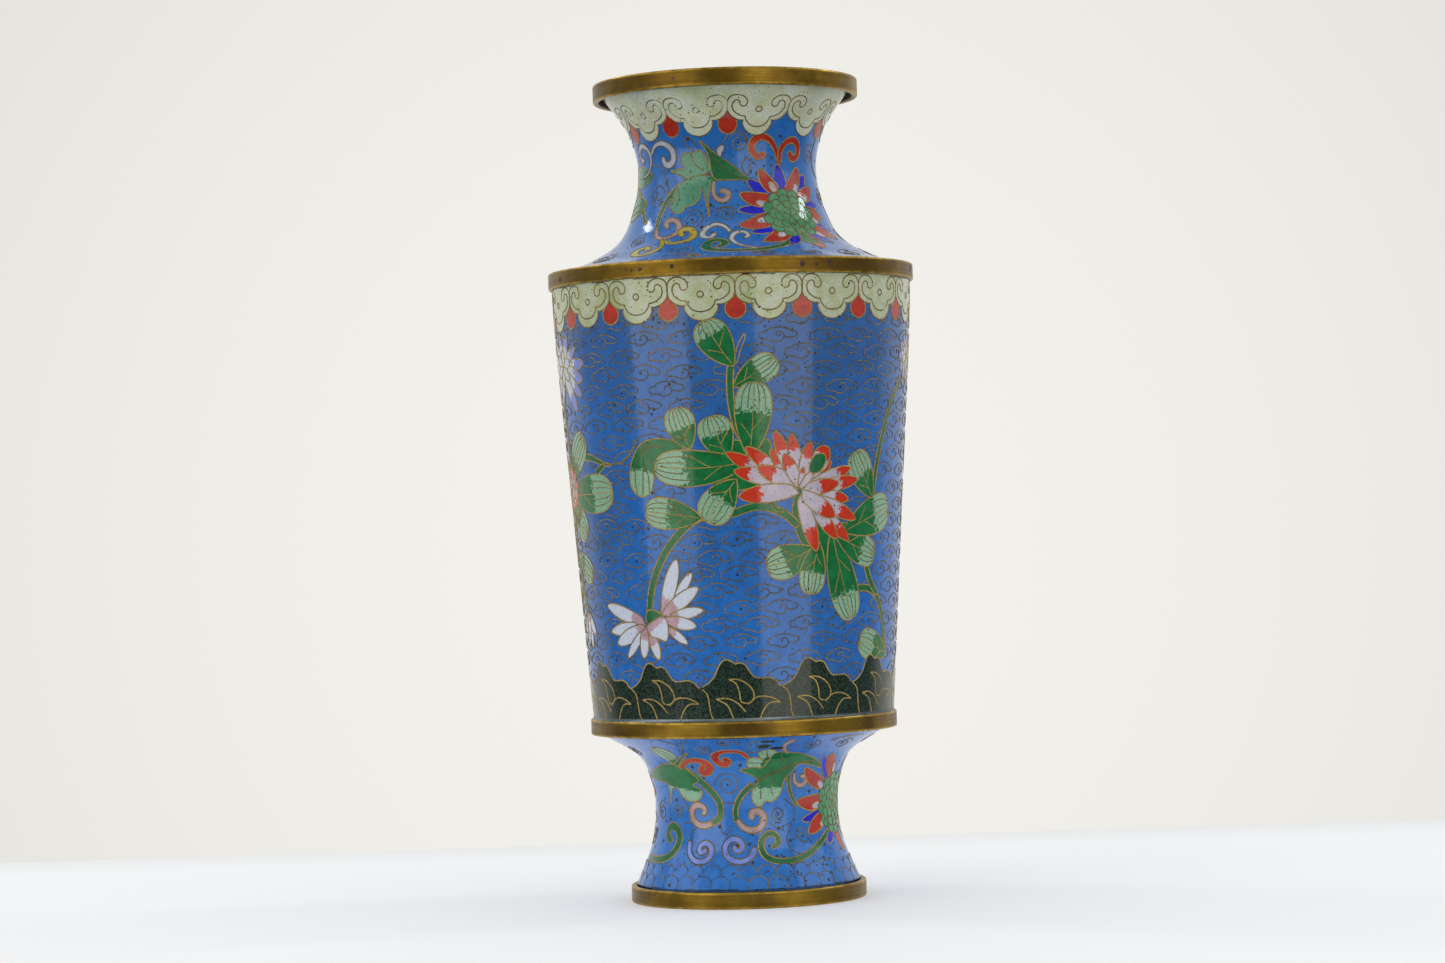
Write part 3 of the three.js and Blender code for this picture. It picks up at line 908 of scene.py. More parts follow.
def main_spray(chart, shift):
    """The red-tipped blossom with its leaves, and a white lotus hanging below it."""
    chart.move(shift)
    for points, half in SPRAY_STEMS:
        stem(chart, points, half)
    shape(chart, "sky", [0.3,97, 1.1,101, 2.6,104.2, 3.3,104.9, 3,103, 1.9,100, 1,97], steps=4)
    tendril(chart, [-27.5,77, -30,73.5, -33.5,71.2, -40,70.8], 0.7)
    shape(chart, "leaf", [-14,75.6, -20,77.2, -25.5,76.4, -29,72.5, -30.5,67.5, -30.2,64.2, -28.2,62,
        -26,61.7, -23.8,63.2, -22.8,66.5, -22.3,70, -20,72.5, -15,73.5], towards((-24, 78), (-27, 62), 0.58))
    tendrils(chart, [-28.4,62.4, -28.8,67, -27.6,72, -24,75.4], [-26.6,62, -26.2,67, -25.6,73],
        [-24.6,62.8, -24.5,67, -25.8,71.5], [-27.5,72, -24.5,75.3, -19.5,74.8])
    shape(chart, "leaf", [1,76, 8.5,76, 9,70, 6,64, -2,62.5, -8,66, -8,73, -3,76.5])
    shape(chart, "leaf", [22,52, 34,52.5, 36,47, 30,41.5, 25,40.5, 21.5,45])
    leaves(chart, SPRAY_LEAVES)
    stem(chart, [9.3,60, 10.3,57.2, 12.6,56.8], 0.6, 0.5)
    petals(chart, "blossom", BLOSSOM)
    shape(chart, "blossom", [20.6,71, 23,73.8, 25.6,73.6, 26.2,71, 24.6,67.6, 21.5,67],
        towards((20.5, 67.5), (26, 73.5), 0.6))
    shape(chart, "stem", [19.9,67.3, 20.4,69.9, 22.2,71.8, 24.6,71.6, 24.8,69.6, 23.4,67.4, 21.2,66.5])
    shape(chart, "stem", [-28.4,27.2, -28.2,30.2, -26,30.8, -23.4,29.4, -25,27.2])
    petals(chart, "lotus", LOTUS)
    shape(chart, "lotus", [-28.6,26.2, -27.4,23.6, -24.8,22.9, -22.2,22.1, -21.4,25.2, -22,28.2, -23.6,28.8,
        -26.2,27.8], towards((-27.5, 28.5), (-22.5, 22.5), 0.42))
    petal_ring(chart, "iris", (63, 99), 0, (7.8, 7.2), 1.7, 0.62, range(0, 360, 30))
    petal_ring(chart, "iris", (63, 99), 0, (4.8, 4.4), 1.3, 0.8, range(15, 375, 60))
    chart.move()


def side_spray(chart, shift):
    """A white flower with lavender tips above a small blossom in its leaves."""
    chart.move(shift)
    stem(chart, [0,96, -2.5,86, -2,76, -4,66], 0.8)
    stem(chart, [8,73.6, 14,72.8, 19,71.2, 22,70.6], 0.9, 0.3)
    stem(chart, [16,69, 19.5,70.8], 0.8, 0.6)
    stem(chart, [-4,66, -6,50, -2,38, 1,30], 0.9)
    leaves(chart, [(-2,66, 0.8, 10.5,79, 4.4, 0.45), (-2,63, -0.5, 22,63.4, 5.3, 0.62),
        (-1,62, -0.8, 6.5,51, 4.2, 0.5), (-5,66, -0.6, -17,74, 4.2, 0.55), (-5,62, 0.6, -19,58, 4.6, 0.6),
        (-4,60, 0.4, -11,47, 4, 0.6), (-4.5,46, 0.5, 8,40, 3.6, 0.5), (-2.5,38, 0.4, -14,33, 3.6, 0.5)])
    petal_ring(chart, "blossom", (-4, 65), 1, (8.2, 6.8), 1.5, 0.62, range(8, 368, 30))
    petal_ring(chart, "blossom", (-4, 65), 0, (4.8, 4.2), 1.1, 0.7, range(0, 360, 45))
    fan(chart, "iris", (0.5, 98.5), 0.62, [(14.2,99.2, 1.8), (13,94.6, 2.2), (12,90.2, 1.7), (8.5,86, 2),
        (10.5,103.6, 1.6), (5.5,107, 1.8), (-1,108.5, 1.8), (-7.5,106.5, 1.9), (-12,102, 1.8), (-13,96.5, 2),
        (-10,90.5, 1.9), (-4.5,87, 1.8)])
    petal_ring(chart, "iris", (0.5, 98.5), 0, (6.5, 5.5), 1.4, 0.8, range(20, 380, 60))
    fan(chart, "lotus", (1, 30.5), 0.4, [(-4,24, 1.5), (-1,20.5, 1.5), (3,20, 1.5), (6.5,23.5, 1.5),
        (1,23, 1.5)])
    chart.move()


# The crest of one rock, from valley to valley, and the blades of grass on it
ROCKS, ROCK_WIDTH = 12, 24.09
CREST = pairs([0,9.2, 2.4,10.2, 4.4,12, 5.4,14, 6.6,15.8, 8.2,16.4, 9.8,15.6, 10.6,15.1, 11.8,15.4,
               13.4,14.8, 14.8,12.8, 16.2,11.4, 18.4,11.3, 20.6,11.4, 22.4,10.6, 23.4,9.4])
GRASS = [
    [8.4,11.4, 11.6,11.2, 14.6,9.4, 15.8,7, 15,5.2, 13,4.8, 11.8,5.6, 11.5,7.8, 10.6,10.2, 8.4,11.4],
    [4.6,6.1, 8,6.2, 11,4.8, 13.2,2.4],
    [4.6,6.1, 7.6,4.6, 8.8,2.6, 9.6,0.4],
    [13.9,4.4, 16.2,6.2, 18.6,6.6, 21.4,6, 23.6,4.8],
    [23.6,4.8, 20.6,4.8, 18.6,3, 17.4,0.4],
    [0,9.2, 1.9,7.6, 2.5,5, 2.9,2, 3.8,0.2],
]


def rocks(chart, phase):
    pitch = chart.turn / ROCKS
    for number in range(ROCKS):
        x = phase + number * pitch
        lift = rng.uniform(-0.5, 0.5)
        stretch = pitch / ROCK_WIDTH
        crest = spline([(x + u * stretch, v + lift * math.sin(math.pi * u / 24))
                        for u, v in [*CREST, (ROCK_WIDTH, 9.2)]], 4)
        chart.cell(np.vstack([crest, [(x + pitch, 0), (x, 0)]]), "rock", wire=None)
        chart.line(crest)
        for line in GRASS:
            chart.line(spline([(x + u * stretch, v) for u, v in pairs(line)], 6))


def rosette(chart, centre, rings, squash=1):
    """Rings of scale petals, outermost first."""
    for count, radius, length, half, turn in rings:
        for i in range(count):
            a = math.radians(turn + 360 * i / count)
            way = np.array([math.cos(a), math.sin(a) * squash])
            base = np.array(centre) + way * (radius - length)
            chart.cell(blade(base, 0, np.array(centre) + way * radius, half, leaf_width, 10), "pistil",
                wire=THIN_WIRE)


def flame_width(t):
    """Half width along a flame petal, full in its lower half and drawn out to a point; 1 at its widest."""
    return (0.2 + np.maximum(t, 0)) ** 0.6 * np.maximum(1 - t, 0) ** 0.62 / 0.58


def patches(chart, centre, places):
    """Small blunt pink cells that point away from a centre."""
    for place in pairs(places):
        out = (place - centre) / np.hypot(*(place - centre))
        along, across = 1.5 * out, 0.95 * np.array([-out[1], out[0]])
        corners = [place + u * along + v * across for u, v in ((-1, -1), (0.8, -0.8), (1, 0.5), (-0.8, 0.9))]
        chart.cell(loop(corners, 4), "blossom", wire=THIN_WIRE)


NECK_SCROLLS = [
    ("white", 0.65, 0.35, [-31.3,44, -33,44.2, -33.7,46, -31.9,47.9, -29.3,47.8, -27.3,46.2, -26.7,44,
        -27.4,41.6, -29.2,40, -32,39.4]),
    ("white", 0.85, 0.45, [-20.9,43.4, -20.2,42, -18.5,41.6, -17,42.8, -16.9,45.2, -18.5,47, -21,47.9,
        -23.8,47.3, -26,45.2]),
    ("rose", 0.6, 0.45, [-1.6,33.2, -0.2,33, 0.1,31.5, -1.4,30.4, -3.3,31.2, -4.2,33.4, -3.9,36.2]),
    ("white", 0.85, 0.35, [-1.4,45.4, -2.2,44.2, -1.7,42.8]),
    ("red", 0.85, 0.5, [11,43.2, 9.2,42.8, 7.6,44.3, 7.7,46.8, 10,48.3, 12.7,47.6, 14.8,45.4, 16,42.5,
        16.4,39.6]),
    ("red", 0.85, 0.6, [20.5,43.8, 21.5,42.5, 23.4,43.2, 24,45.2, 22.8,47.1, 20.8,47.7, 18.4,46.6, 16.9,44.4,
        16.7,41]),
    ("rose", 0.65, 0.5, [-16.4,23.3, -17.3,24.6, -15.6,25.5, -13.4,24.2, -12.8,21.6, -14.2,19.4, -16.6,18.8,
        -18.8,20.4, -19.8,23]),
    ("yellow", 0.75, 0.45, [-11.4,19.8, -12.1,21.2, -10.8,22.1, -9.1,21.4, -8.3,19.2, -9.3,16.9, -11.8,15.8,
        -14.2,16.6, -16.2,18.4]),
    ("yellow", 0.7, 0.45, [-17.3,12.6, -18.2,14.4, -19.7,13.2, -19.6,10.8, -18,8.6, -16,9.4, -14.8,12,
        -14.8,15, -16.2,18.2]),
    ("white", 0.6, 0.45, [-3.5,19.4, -4.2,17.9, -5.9,18.5, -6.2,20.6, -5,22.4, -3,23.2, -1,22.3, 0.4,20.2]),
    ("white", 0.55, 0.35, [3.7,17.4, 4.4,18.6, 3.6,20, 1.9,20, 0.7,18.4, 0.6,16.2, 1.5,13.8, 3,11.8,
        5.2,10.2]),
    ("stem", 0.8, 0.8, [-1.9,12, -0.9,13.7, -1.3,15.8, -2.9,16.4, -4.3,15, -4.6,12.4, -3.4,10, 0,8.8, 5,9.2,
        10,11.8, 14,16, 15.5,19]),
]
# Flame petals of the neck's flower: base, bend, tip, half width
NECK_COBALT = [
    (16.8,32.5, 0, 15.6,40.8, 2.2), (20.5,32.5, -0.6, 26.9,38.2, 2.1), (23,28.6, 0.4, 30.2,29.6, 1.7),
    (22.5,24.4, 0.4, 29.8,21.6, 1.7), (20,20.5, 0.4, 25.6,14.8, 1.6), (16,20, 0.6, 13,12.8, 1.6),
    (12.5,23, 0.9, 5.2,19.8, 1.8), (11.5,28, 0.7, 2.6,27.6, 1.6), (13.5,31.5, 1, 5.8,36.4, 2),
]
NECK_RED = [
    (18,32.5, -1.3, 23.6,40.2, 1.9), (22,31.2, -0.9, 28.8,34.8, 1.9), (23.2,27.4, 0.5, 30.4,25.4, 1.7),
    (21.6,22.6, 0.5, 31.2,18, 1.8), (19,19.5, 0, 19.5,10.6, 1.8), (14.2,21.6, 1.3, 7.2,14.8, 2.1),
    (12.2,26, 1.4, 2.6,22.6, 2), (12.8,30.6, 1.4, 3.4,32.4, 2), (15.4,32.5, 1.2, 9.7,39.4, 1.9),
]
# Rings of its core, outermost first: count of scales, radius, length, half width, start angle
NECK_RINGS = ((12, 8.4, 4.4, 1.7, 10), (10, 6.6, 4, 1.5, 30), (8, 4.8, 3.4, 1.3, 5), (5, 2.8, 2.6, 1.1, 50))


def flower(chart, centre, cobalt, red, pinks, rings, squash):
    for kind, widen, bend_more, flames in (("cobalt", 1, 1, cobalt), ("red", 1.15, 1.4, red)):
        for x, y, bend, tip_x, tip_y, half in flames:
            petal(chart, (x, y), (tip_x, tip_y), widen * half, NO_TIP, kind, bend_more * bend, flame_width)
    patches(chart, centre, pinks)
    radius = 7.6
    core = [(centre[0] + radius * math.cos(a), centre[1] + radius * squash * math.sin(a))
            for a in np.arange(0, 2 * math.pi, 0.4)]
    chart.cell(loop(core, 3), "pistil", wire=THIN_WIRE)
    rosette(chart, centre, rings, squash)


def neck_group(chart, shift):
    """Scrolls, leaves and the many-coloured flower of the neck."""
    chart.move(shift)
    stem(chart, [-15.2,34.8, -18.2,31.6, -20,27.4, -20,23], 0.9, 0.5)
    stem(chart, [-37,36, -33,33.5, -29,30, -25,25], 1, 0.4)
    leaf(chart, (-25.5, 39), 1, (-40, 40.5), 3, 0.4, ribs=(0.1,), branches=False, kind="jade")
    leaf(chart, (-27, 31), -1, (-39, 29.5), 3.6, 0.4, ribs=(-0.2, 0.4), branches=False, kind="jade")
    shape(chart, "jade", [-18.2,39.7, -15,40.2, -12.8,40.3, -14.1,41.8, -13.8,43.6, -12.4,44.5, -10.5,44.3,
        -8.6,44.9, -6.8,44.1, -6.2,42.5, -5,39.5, -8,37.8, -12.2,37.2, -15,38.8],
        towards((0, 39), (-9, 41), 0.48), steps=4)
    shape(chart, "jade", [-12.2,37.2, -15.4,35.2, -16.4,32, -16.9,29.4, -15.3,27.5, -13,27.6, -11.8,29.2,
        -9.6,29.6, -8,31.6, -7.4,34.6, -6.4,31, -4.9,25.2, -5.5,30, -5,34.4, -3,36.8, -7,38],
        towards((0, 39), (-9, 34.5), 0.5), steps=4)
    shape(chart, "jade", [8.6,34.8, 5,37.8, 0.6,41.2, -3.4,43.8, -8,47.9, -6,44.6, -5.2,41.6, -4.6,38.6,
        -3,36.5, 4,36.3], steps=4)
    tendrils(chart, [-12.2,37.2, -9,37.9, -5,38.2], [-5,44.8, -3.2,41.8, 0.6,38.4, 4,36.8],
        [-10.8,44.2, -9.8,41.4, -7,39.2], [-15.2,34.6, -14.4,32.6, -14.8,29.6], [-10.2,32.6, -9.6,31])
    scrolls(chart, NECK_SCROLLS)
    flower(chart, (17.6, 25.8), NECK_COBALT, NECK_RED, [13.3,34.3, 9.4,29.2, 8.9,24.1, 12.5,18.7, 21.6,34,
        24.8,31.2, 26,24.6, 24.6,19.4], NECK_RINGS, 0.96)
    leaf(chart, (18.4, 20.4), 0, (18.6, 13.6), 1.9, 2, ribs=(), branches=False)
    ground_spirals(chart, 1.7, [(-22.2,33.6, 3.9, 20, -1), (3.4,46.6, 2.8, 150, -1), (-9.4,25, 3.2, 120, -1),
        (-0.6,26.2, 2.4, 200, -1), (30,44, 3, 60, 1), (36,33, 3.2, 20, -1), (-9.6,10, 3, 80, -1),
        (6,5.4, 2.6, 40, 1), (-28,9, 3.4, 100, -1), (24,7, 3.2, 60, 1), (-6,5, 2.2, 60, 1),
        (36,10, 3.2, 100, -1), (15,7, 2.4, 120, 1), (38,20, 3.2, 160, -1), (-24,18, 2.6, 160, -1)])
    tendrils(chart, [-12.6,48.8, -10.6,48.6, -8.4,45.4], [-12.6,48.8, -12,46.4, -9.6,44.8],
        [-1.2,46.4, 1.6,49.8, 5.4,49.2, 6,46.6], [-26.2,42.2, -22,41, -19.4,37, -18.3,33.6],
        [-6.2,26, -3,28, 0.6,28.6, 2,26.6], [5.6,37.8, 4.4,40, 5.6,42.4, 6.8,41.4, 6.8,38.6, 5.6,37.2],
        [34,50, 33,42, 37,38], [38,30, 41,24, 40,16])
    chart.move()


FOOT_SCROLLS = [
    ("red", 0.9, 0.5, [-12.1,35.1, -12.7,33.7, -11,33.4, -9.9,34.9, -10.9,36.7, -13.4,37.6, -16.4,37,
        -19.4,34.6]),
    ("red", 0.85, 0.5, [-5.2,37.9, -4.4,36.8, -5.7,35.9, -7.3,36.8, -7.8,38.9, -6.4,41, -3.8,41.8, -1,41,
        0.6,38.2]),
    ("rose", 0.75, 0.8, [-13.4,21.9, -13.1,23.1, -15.2,24.1, -17.3,23.3, -17.7,21, -15.9,18.9, -13.2,18.4,
        -10.8,19]),
    ("rose", 0.75, 0.7, [1.4,20.6, 1.5,21.9, 3.4,22.2, 5,20.6, 4.4,18.2, 2.2,17, -0.8,17.6, -3,19.9]),
    ("rose", 0.6, 0.45, [17,31.3, 18.7,31.2, 18.8,29.6, 16.8,28.7, 14.8,30, 14.4,32.6]),
    ("rose", 0.5, 0.35, [10,47.2, 8.9,44.6, 9.4,41.6, 11,39.6]),
    ("stem", 0.95, 0.8, [-26.4,14.2, -27.9,15.2, -27.7,17.2, -25.4,18, -23.1,16.8, -22.4,14, -23.8,11,
        -27,8.9, -32,8.3, -38,8.6]),
    ("stem", 0.7, 0.75, [7.5,12.4, 9,13.3, 8.7,15.1, 6.8,16, 4.6,15, 3.8,12.6, 4.8,9.8, 7.8,8.2, 12,8,
        17,9.2, 22,11.5, 29,15.4]),
    ("lavender", 0.7, 0.75, [-12.6,11.6, -13.7,10.8, -14.7,11.8, -13.9,13.3, -12,13.5, -10.7,11.9, -11.1,9.6,
        -13.2,8.3, -15.9,8.8, -17.9,11.1, -18.1,14.2]),
    ("lavender", 0.7, 0.75, [-3.9,12.4, -3.4,11.4, -2.3,11.5, -1.6,12.9, -2.7,14.4, -4.8,14.6, -6.5,13,
        -6.4,10.6, -4.6,8.8, -1.8,8.3, 0.8,9.6, 2,12.2]),
]
# Flame petals and rings of the foot's flower
FOOT_COBALT = [
    (28,30, -0.7, 23.2,36.8, 1.7), (26.4,21.2, 0.9, 17.6,19, 1.4), (32,16.6, 0.4, 27.2,11.8, 1.6),
    (38,30, 0.6, 43,36, 1.7), (40,20, 0.4, 49,19, 1.7),
]
FOOT_RED = [
    (32,31, 0.9, 26,38, 2.1), (26.8,28.4, 1.5, 17.8,33.8, 1.8), (27,24.6, 1.4, 16,24.4, 2),
    (28.2,19.6, -0.6, 19.8,15.2, 2), (34,16, 0.4, 36,9, 1.8), (40,26.6, 1, 49.6,27.4, 2),
    (39,17.6, 1, 45,12, 1.9),
]
FOOT_RINGS = ((12, 8.8, 4.6, 1.8, 10), (10, 6.8, 4.2, 1.6, 30), (8, 4.8, 3.6, 1.3, 5),
              (5, 2.6, 2.4, 1.1, 50))


def foot_group(chart, shift):
    """Scrolls, leaves and the side flower of the foot."""
    chart.move(shift)
    stem(chart, [-10,19.4, -8.2,21, -8.3,24.8, -11.4,28.8, -16,33, -21,35.4], 0.9, 1)
    stem(chart, [-3.3,19.9, -3.3,23.2, -1.4,26.8, 2,29.8], 0.75, 0.8)
    shape(chart, "leaf", [-38,32, -30,34.6, -24,36.2, -18.6,35, -14.6,32, -14.6,30.6, -16.4,30, -16,29.4,
        -13.6,28.4, -14.2,26.2, -16.6,25, -20.4,26, -22.8,28.8, -25.4,28, -26.8,24, -26.6,29.6, -31,30.6],
        towards((-17, 34), (-18, 26), 0.72))
    leaf(chart, (-20, 35), -1, (-23.4, 43.6), 2.8, 0.3, ribs=(-0.3, 0.3), branches=False)
    stem(chart, [-14.4,40.8, -17.8,38, -20.6,35.6], 0.3, 0.7)
    for base, tip, half in (((6, 36), (0.4, 36.4), 2), ((6.4, 36.4), (5, 41.8), 2.2)):
        leaf(chart, base, 0, tip, half, 0.3, ribs=(0,), branches=False)
    shape(chart, "leaf", [-1.6,34, 2,34.8, 4.6,34.6, 6.4,37.4, 7.6,40.4, 12,39.9, 17,38.2, 21.6,35.8,
        24.6,33.2, 22,34, 15.6,35.2, 14,33.4, 11.6,31.2, 10.9,28.6, 9.8,26.2, 7.6,24.7, 5.4,24.9, 4.3,23.4,
        2.6,24, 1.5,26, 2,28.6, 3.6,30.6, 1,32.8], towards((7, 35), (6.6, 24), 0.58))
    stem(chart, [15.6,23.4, 13.4,27.4, 12.4,32], 0.45, 0.6)
    tendrils(chart, [0,28.6, 3,30.8, 8,33.3, 14,35.5, 19,36.1, 23.4,34.6],
        [3,30.2, 8,32.7, 14,34.9, 19,35.6], [4.4,28.2, 4.2,25.6], [8.2,31, 7.4,28.4, 8,26.4],
        [9,39.4, 10.2,36.8], [5.8,37.6, 5.2,40.2])
    scrolls(chart, FOOT_SCROLLS)
    flower(chart, (33.4, 23), FOOT_COBALT, FOOT_RED, [23.6,22.6, 26.6,17.8, 25.2,28.4, 31,33, 40.6,30,
        41,22.8], FOOT_RINGS, 1)
    ground_spirals(chart, 1.6, [(-5.4,29.8, 3.8, 180, -1), (9.6,21, 2.4, 290, -1), (17.2,14.6, 2.8, 200, -1),
        (-23.4,22.6, 2.2, 30, -1), (-32,22, 3, 40, 1), (-34,41, 2.8, 40, 1), (15.6,43.6, 2.6, 90, -1),
        (-9.8,43, 2.4, 240, 1), (-4.6,47, 2, 240, 1), (26,43, 2.8, 20, 1), (40,44, 2.8, 120, 1),
        (-44,30, 3.2, 10, 1), (-40,15, 3.2, 40, -1)])
    tendrils(chart, [-7.2,24.8, -4.8,24.6, -3.8,24.8], [11.4,25.4, 15.4,22, 13.8,18.4, 11.8,14, 13,11,
        15.4,9.8], [7,18.8, 9.4,17.2, 11.6,18], [-21,19, -18.2,19.6, -19.4,23.6, -21.6,27],
        [-8,19, -7.6,16.6, -5.8,16, -4.6,18.4], [-18,14.4, -17.4,16.8, -15.8,17.8],
        [0.4,45, 1.6,47.4, 3.2,44, 1.4,40.4, 0.4,45], [-18,49, -14.6,44.6, -16.4,39.4],
        [-2.4,49.4, -1.6,45.4, -0.8,49.4], [-11.6,49, -13.4,46.4, -14.8,42.6])
    chart.move()


def fish_scales(chart):
    """Two rows of scales round the bottom of the foot."""
    count, radius = 36, 2.5
    pitch = chart.turn / count
    for row, y in ((0, 4.9), (1, 1.7)):
        for i in range(count):
            x = (i + row / 2) * pitch
            scale = [(x + radius * math.cos(a), y + radius * math.sin(a))
                     for a in np.linspace(-0.6, math.pi + 0.6, 14)]
            chart.cell(scale, "blue", wire=None)
            chart.line(scale, THIN_WIRE, DARK)


def scars(chart, places):
    """Dark places where a little enamel has chipped away."""
    for x, y, wide, tall in places:
        corners = [(x + wide * rng.uniform(0.5, 1) * math.cos(a),
                    y + tall * rng.uniform(0.5, 1) * math.sin(a))
                   for a in np.arange(0, 6.2, 0.7)]
        chart.cell(loop(corners, 4), "scar", wire=None)


# ---------------------------------------------------------------- the vase

def paint_hidden_copper():
    for node in ("neck_copper", "body_copper", "foot_copper", "base_plate"):
        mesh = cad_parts[node].data
        mesh.materials.clear()
        mesh.materials.append(COPPER)


def make_bands():
    brass_ring("mouth_band", 1.1, True, 3.2)
    brass_ring("shoulder_band", 1.8, False, 2.1)
    brass_ring("waist_band", 1.8, True, 2.1)
    brass_ring("foot_band", 1.8, False, 3.2)
    spot_band("shoulder_band", [(-30.0, 2.4, 0.6), (-28.1, 2.0, 0.7), (-25.4, 2.2, 1.0), (-15.9, 2.4, 1.1),
        (-6.4, 2.2, 0.6), (-0.9, 2.0, 0.5), (20.0, 2.2, 1.3), (24.1, 2.4, 0.7), (28.6, 2.6, 1.2),
        (-60.0, 2.0, 0.9), (70.0, 2.5, 1.0)])
    spot_band("mouth_band", [(-24.8, 1.6, 0.6), (-22.0, 1.8, 0.5), (-14.6, 2.4, 0.6), (-6.0, 3.0, 0.5),
        (3.0, 4.2, 0.5)])


def spot_band(node, spots):
    """Dark spots on a band's face, at distances round it and heights up it, with their radii."""
    low, high = (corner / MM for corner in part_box(node))
    chart = Chart(node + "_spots", [(high.x, low.z), (high.x, high.z)], high.x, -90.0)
    for x, y, size in spots:
        pock(chart, x, y, size)
        chart.cells[-1] = (chart.cells[-1][0], "tarnish", chart.cells[-1][2])
    chart.map_cells()
    chart.build_cells({})


def make_body_fillet():
    """The enamel's rounded foot, where the body stands on the waist band, in bright metal as a painted
    highlight line.
    """
    _, band = (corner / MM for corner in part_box("waist_band"))
    wall, foot = BODY_OUTLINE[0][0] + 0.05, band.z + 0.03
    reach, rise = band.x - 0.45 - wall, 1.5
    arc = [(wall + reach * (1 - math.sin(a)), foot + rise * (1 - math.cos(a))) for a in np.linspace(0,
        math.pi / 2, 9)]
    revolve("body_fillet", [*arc, (wall - 0.4, foot + rise), (wall - 0.4, foot)], SEAM_HIGHLIGHT)


def make_walls():
    lining = ENAMELS["lining"]
    walls = (("foot", FOOT_OUTLINE, 1.9, 49.9, ["foot_enamel"], ["foot_lining"]),
             ("body", BODY_OUTLINE, 51.9, 172.5, ["body_ground_enamel"], ["body_lining"]),
             ("neck", NECK_OUTLINE, 174.5, 228.8, ["neck_ground_enamel"], ["neck_lining"]))
    for name, outline, low, high, ground, inner in walls:
        blue = ENAMELS["sky" if name == "body" else "blue"]
        wall_shell(name + "_ground", outline, 0, ENAMEL, low, high, blue, ground)
        wall_shell(name + "_inner_lining", outline, LINING_FACE, WALL, low, high, lining,
                   inner)
    for node in ("base_lining", "base_enamel"):
        low, high = (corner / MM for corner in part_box(node))
        disc(node + "_glaze", high.x, low.z, high.z, lining, [node])


def make_body_design():
    chart = Chart("body", BODY_OUTLINE, 46.0, -85.0)
    for shift in (0.0, chart.turn / 2):
        side_spray(chart, shift - 59.5)
        main_spray(chart, shift)
    rocks(chart, -12.6)
    collar(chart, "celadon", 17, 1.0, 0.0, 116.0)
    chart.map_cells()
    chart.build_wires("body_motif_wires", ["body_border_wire", "rock_border_wire"])
    clouds(chart, 12.4, chart.height - 8)
    grime(chart, chart.height - 0.2, 20, 0.2)
    chart.map_cells()
    chart.build_cells({"celadon": ["body_border_enamel"], "rock": ["rock_enamel"]})
    chart.build_wires("body_cloud_wires", [], 0.65)


def make_neck_design():
    chart = Chart("neck", NECK_OUTLINE, 27.0, -42.0)
    for shift in (0.0, chart.turn / 2):
        neck_group(chart, shift)
    # The neck's collar in the lighter copy of the celadon, painted light.
    collar(chart, "lit_celadon", 10, 0.5, 0.8, 56.3, bare=(1,))
    grime(chart, chart.height - 0.3, 14, 0.4)
    grime(chart, 0.4, 20, 0.3)
    chart.map_cells()
    chart.build_cells({"lit_celadon": ["neck_border_enamel"]})
    chart.build_wires("neck_wires", ["neck_border_wire"])


def make_foot_design():
    chart = Chart("foot", FOOT_OUTLINE, 28.0, -38.0)
    for shift in (0.0, chart.turn / 2):
        foot_group(chart, shift)
    fish_scales(chart)
    scars(chart, [(4.2, 44.0, 2.6, 1.3), (7.6, 42.6, 2.2, 1.0), (5.0, 47.0, 2.0, 0.9),
        (21.0, 46.0, 1.4, 1.3), (25.0, 47.4, 4.2, 1.2)])
    grime(chart, chart.height - 0.5, 12, 0.3)
    grime(chart, 0.3, 16, 0.25)
    chart.map_cells()
    chart.build_cells({})
    chart.build_wires("foot_wires", [])


# ---------------------------------------------------------------- studio

def make_table():
    """A white table top, no wider than the picture needs, so that the vase's sides mirror the dim room."""
    (left, front, bottom), (right, back, top) = (-0.26, -0.24, -0.015), (0.26, 0.19, 0.0)
    points = [(x, y, z) for z in (bottom, top) for x, y in ((left, front), (right, front), (right, back),
        (left, back))]
    faces = [(3, 2, 1, 0), (4, 5, 6, 7)] + [(i, (i + 1) % 4, (i + 1) % 4 + 4, i + 4) for i in range(4)]
    mesh = bpy.data.meshes.new("table")
    mesh.from_pydata(points, [], faces)
    mesh.materials.append(table_top("table_top"))
    table = bpy.data.objects.new("table", mesh)
    bpy.context.scene.collection.objects.link(table)


def make_surroundings():
    """A cool room, dim below the horizon, and a bright warm backdrop all over the side behind the vase."""
    world = bpy.data.worlds.new("studio")
    world.use_nodes = True
    tree = world.node_tree
    direction = add_node(tree, "SeparateXYZ", {0: add_node(tree, "TexCoord").outputs["Generated"]}).outputs
    room = ramp(tree, direction["Z"], -0.12, 0.0, 0.12, 0.42)
    room = ramp(tree, direction["Y"], 0.35, 0.6, room, 0.0)
    wall = ramp(tree, direction["Y"], 0.35, 0.6, 0.0, 0.77)
    glow = ramp(tree, direction["Y"], 0.965, 1.0, 0.0, 0.12)
    wall = add_node(tree, "Math", {0: wall, 1: glow}, operation="ADD").outputs[0]
    cool = add_node(tree, "Background", {"Color": (0.94, 0.97, 1.0, 1.0), "Strength": room}).outputs[0]
    warm = add_node(tree, "Background", {"Color": (1.0, 0.985, 0.94, 1.0), "Strength": wall}).outputs[0]
    both = add_node(tree, "AddShader", {0: cool, 1: warm}).outputs[0]
    tree.links.new(both, tree.nodes["World Output"].inputs["Surface"])
    bpy.context.scene.world = world


WARM, COOL = (1.0, 0.93, 0.80), (0.96, 0.98, 1.0)
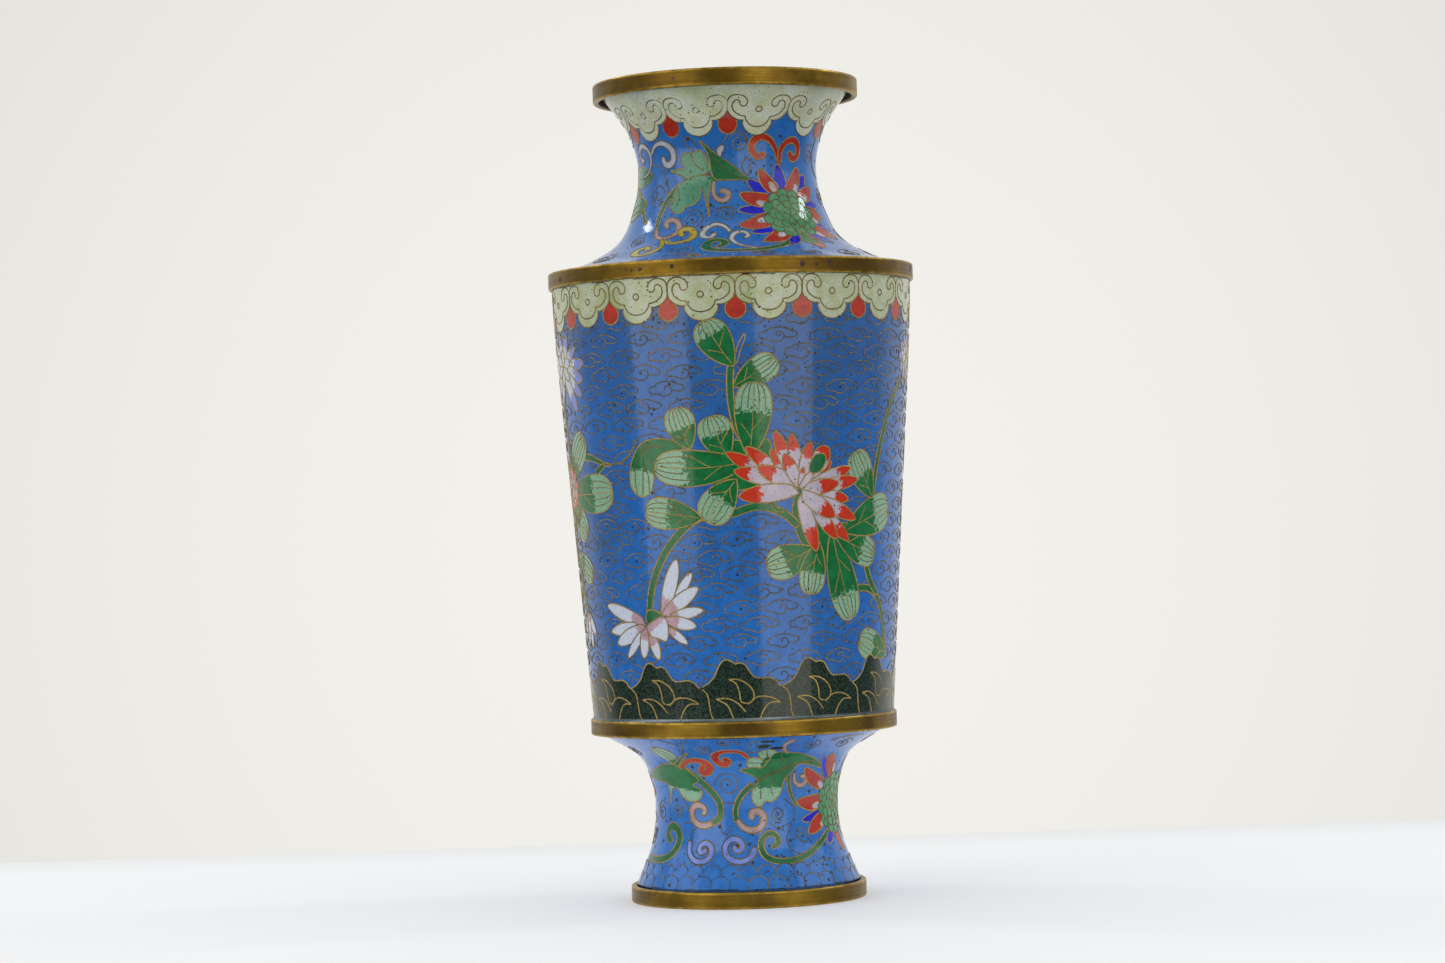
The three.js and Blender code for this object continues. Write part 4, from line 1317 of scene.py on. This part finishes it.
# Place and target in metres, width and height of the lamp, watts and colour
LAMPS = {
    "overhead": ((0.0, -0.1, 1.7), (0.0, 0.05, 0.0), 2.4, 1.6, 4.8, COOL),
    "left_side": ((-1.5, -0.2, 0.95), (0, 0, 0), 1.2, 0.8, 2.5, COOL),
    "right_side": ((1.5, -0.2, 0.95), (0, 0, 0), 1.2, 0.8, 2.5, COOL),
    "left_rim": ((-0.78, 0.44, 0.81), (0, 0, 0.19), 0.2, 0.2, 1.3, COOL),
    "right_rim": ((0.92, 0.26, 0.72), (0, 0, 0.19), 0.16, 0.24, 1.3, COOL),
    "left_front": ((-1.11, -1.0, 0.35), (0, 0, 0.12), 1.09, 1.0, 5.6, WARM),
    "right_front": ((0.82, -1.26, 0.25), (0, 0, 0.12), 1.05, 1.1, 5.2, WARM),
}


def make_lamps():
    for name, (place, target, width, height, power, colour) in LAMPS.items():
        light = bpy.data.lights.new(name, "AREA")
        light.shape, light.energy, light.color = "RECTANGLE", power, colour
        light.size, light.size_y = width, height
        lamp = bpy.data.objects.new(name, light)
        lamp.location = place
        lamp.visible_camera = False
        lamp.rotation_euler = (Vector(target) - Vector(place)).to_track_quat("-Z", "Y").to_euler()
        bpy.context.scene.collection.objects.link(lamp)


CAMERA_PLACE = (0.0, -1.017, 0.102)
PITCH, YAW, ROLL = (math.radians(a) for a in (0.871, -0.226, -1.758))
LENS = 89.69


def make_camera():
    """A long lens a metre away and a little above the table, tipped up and turned slightly."""
    forward = Vector((math.sin(YAW) * math.cos(PITCH), math.cos(YAW) * math.cos(PITCH), math.sin(PITCH)))
    right = forward.cross(Vector((0, 0, 1))).normalized()
    up = right.cross(forward)
    x_axis = math.cos(ROLL) * right + math.sin(ROLL) * up
    y_axis = math.cos(ROLL) * up - math.sin(ROLL) * right
    data = bpy.data.cameras.new("camera")
    data.lens, data.sensor_width = LENS, 36.0
    camera = bpy.data.objects.new("camera", data)
    turned = Matrix((x_axis, y_axis, -forward)).transposed().to_4x4()
    camera.matrix_world = Matrix.Translation(CAMERA_PLACE) @ turned
    bpy.context.scene.collection.objects.link(camera)
    bpy.context.scene.camera = camera
    bpy.context.scene.view_settings.view_transform = "Standard"


make_camera()
paint_hidden_copper()
make_bands()
make_walls()
make_body_fillet()
make_body_design()
make_neck_design()
make_foot_design()
make_table()
make_surroundings()
make_lamps()
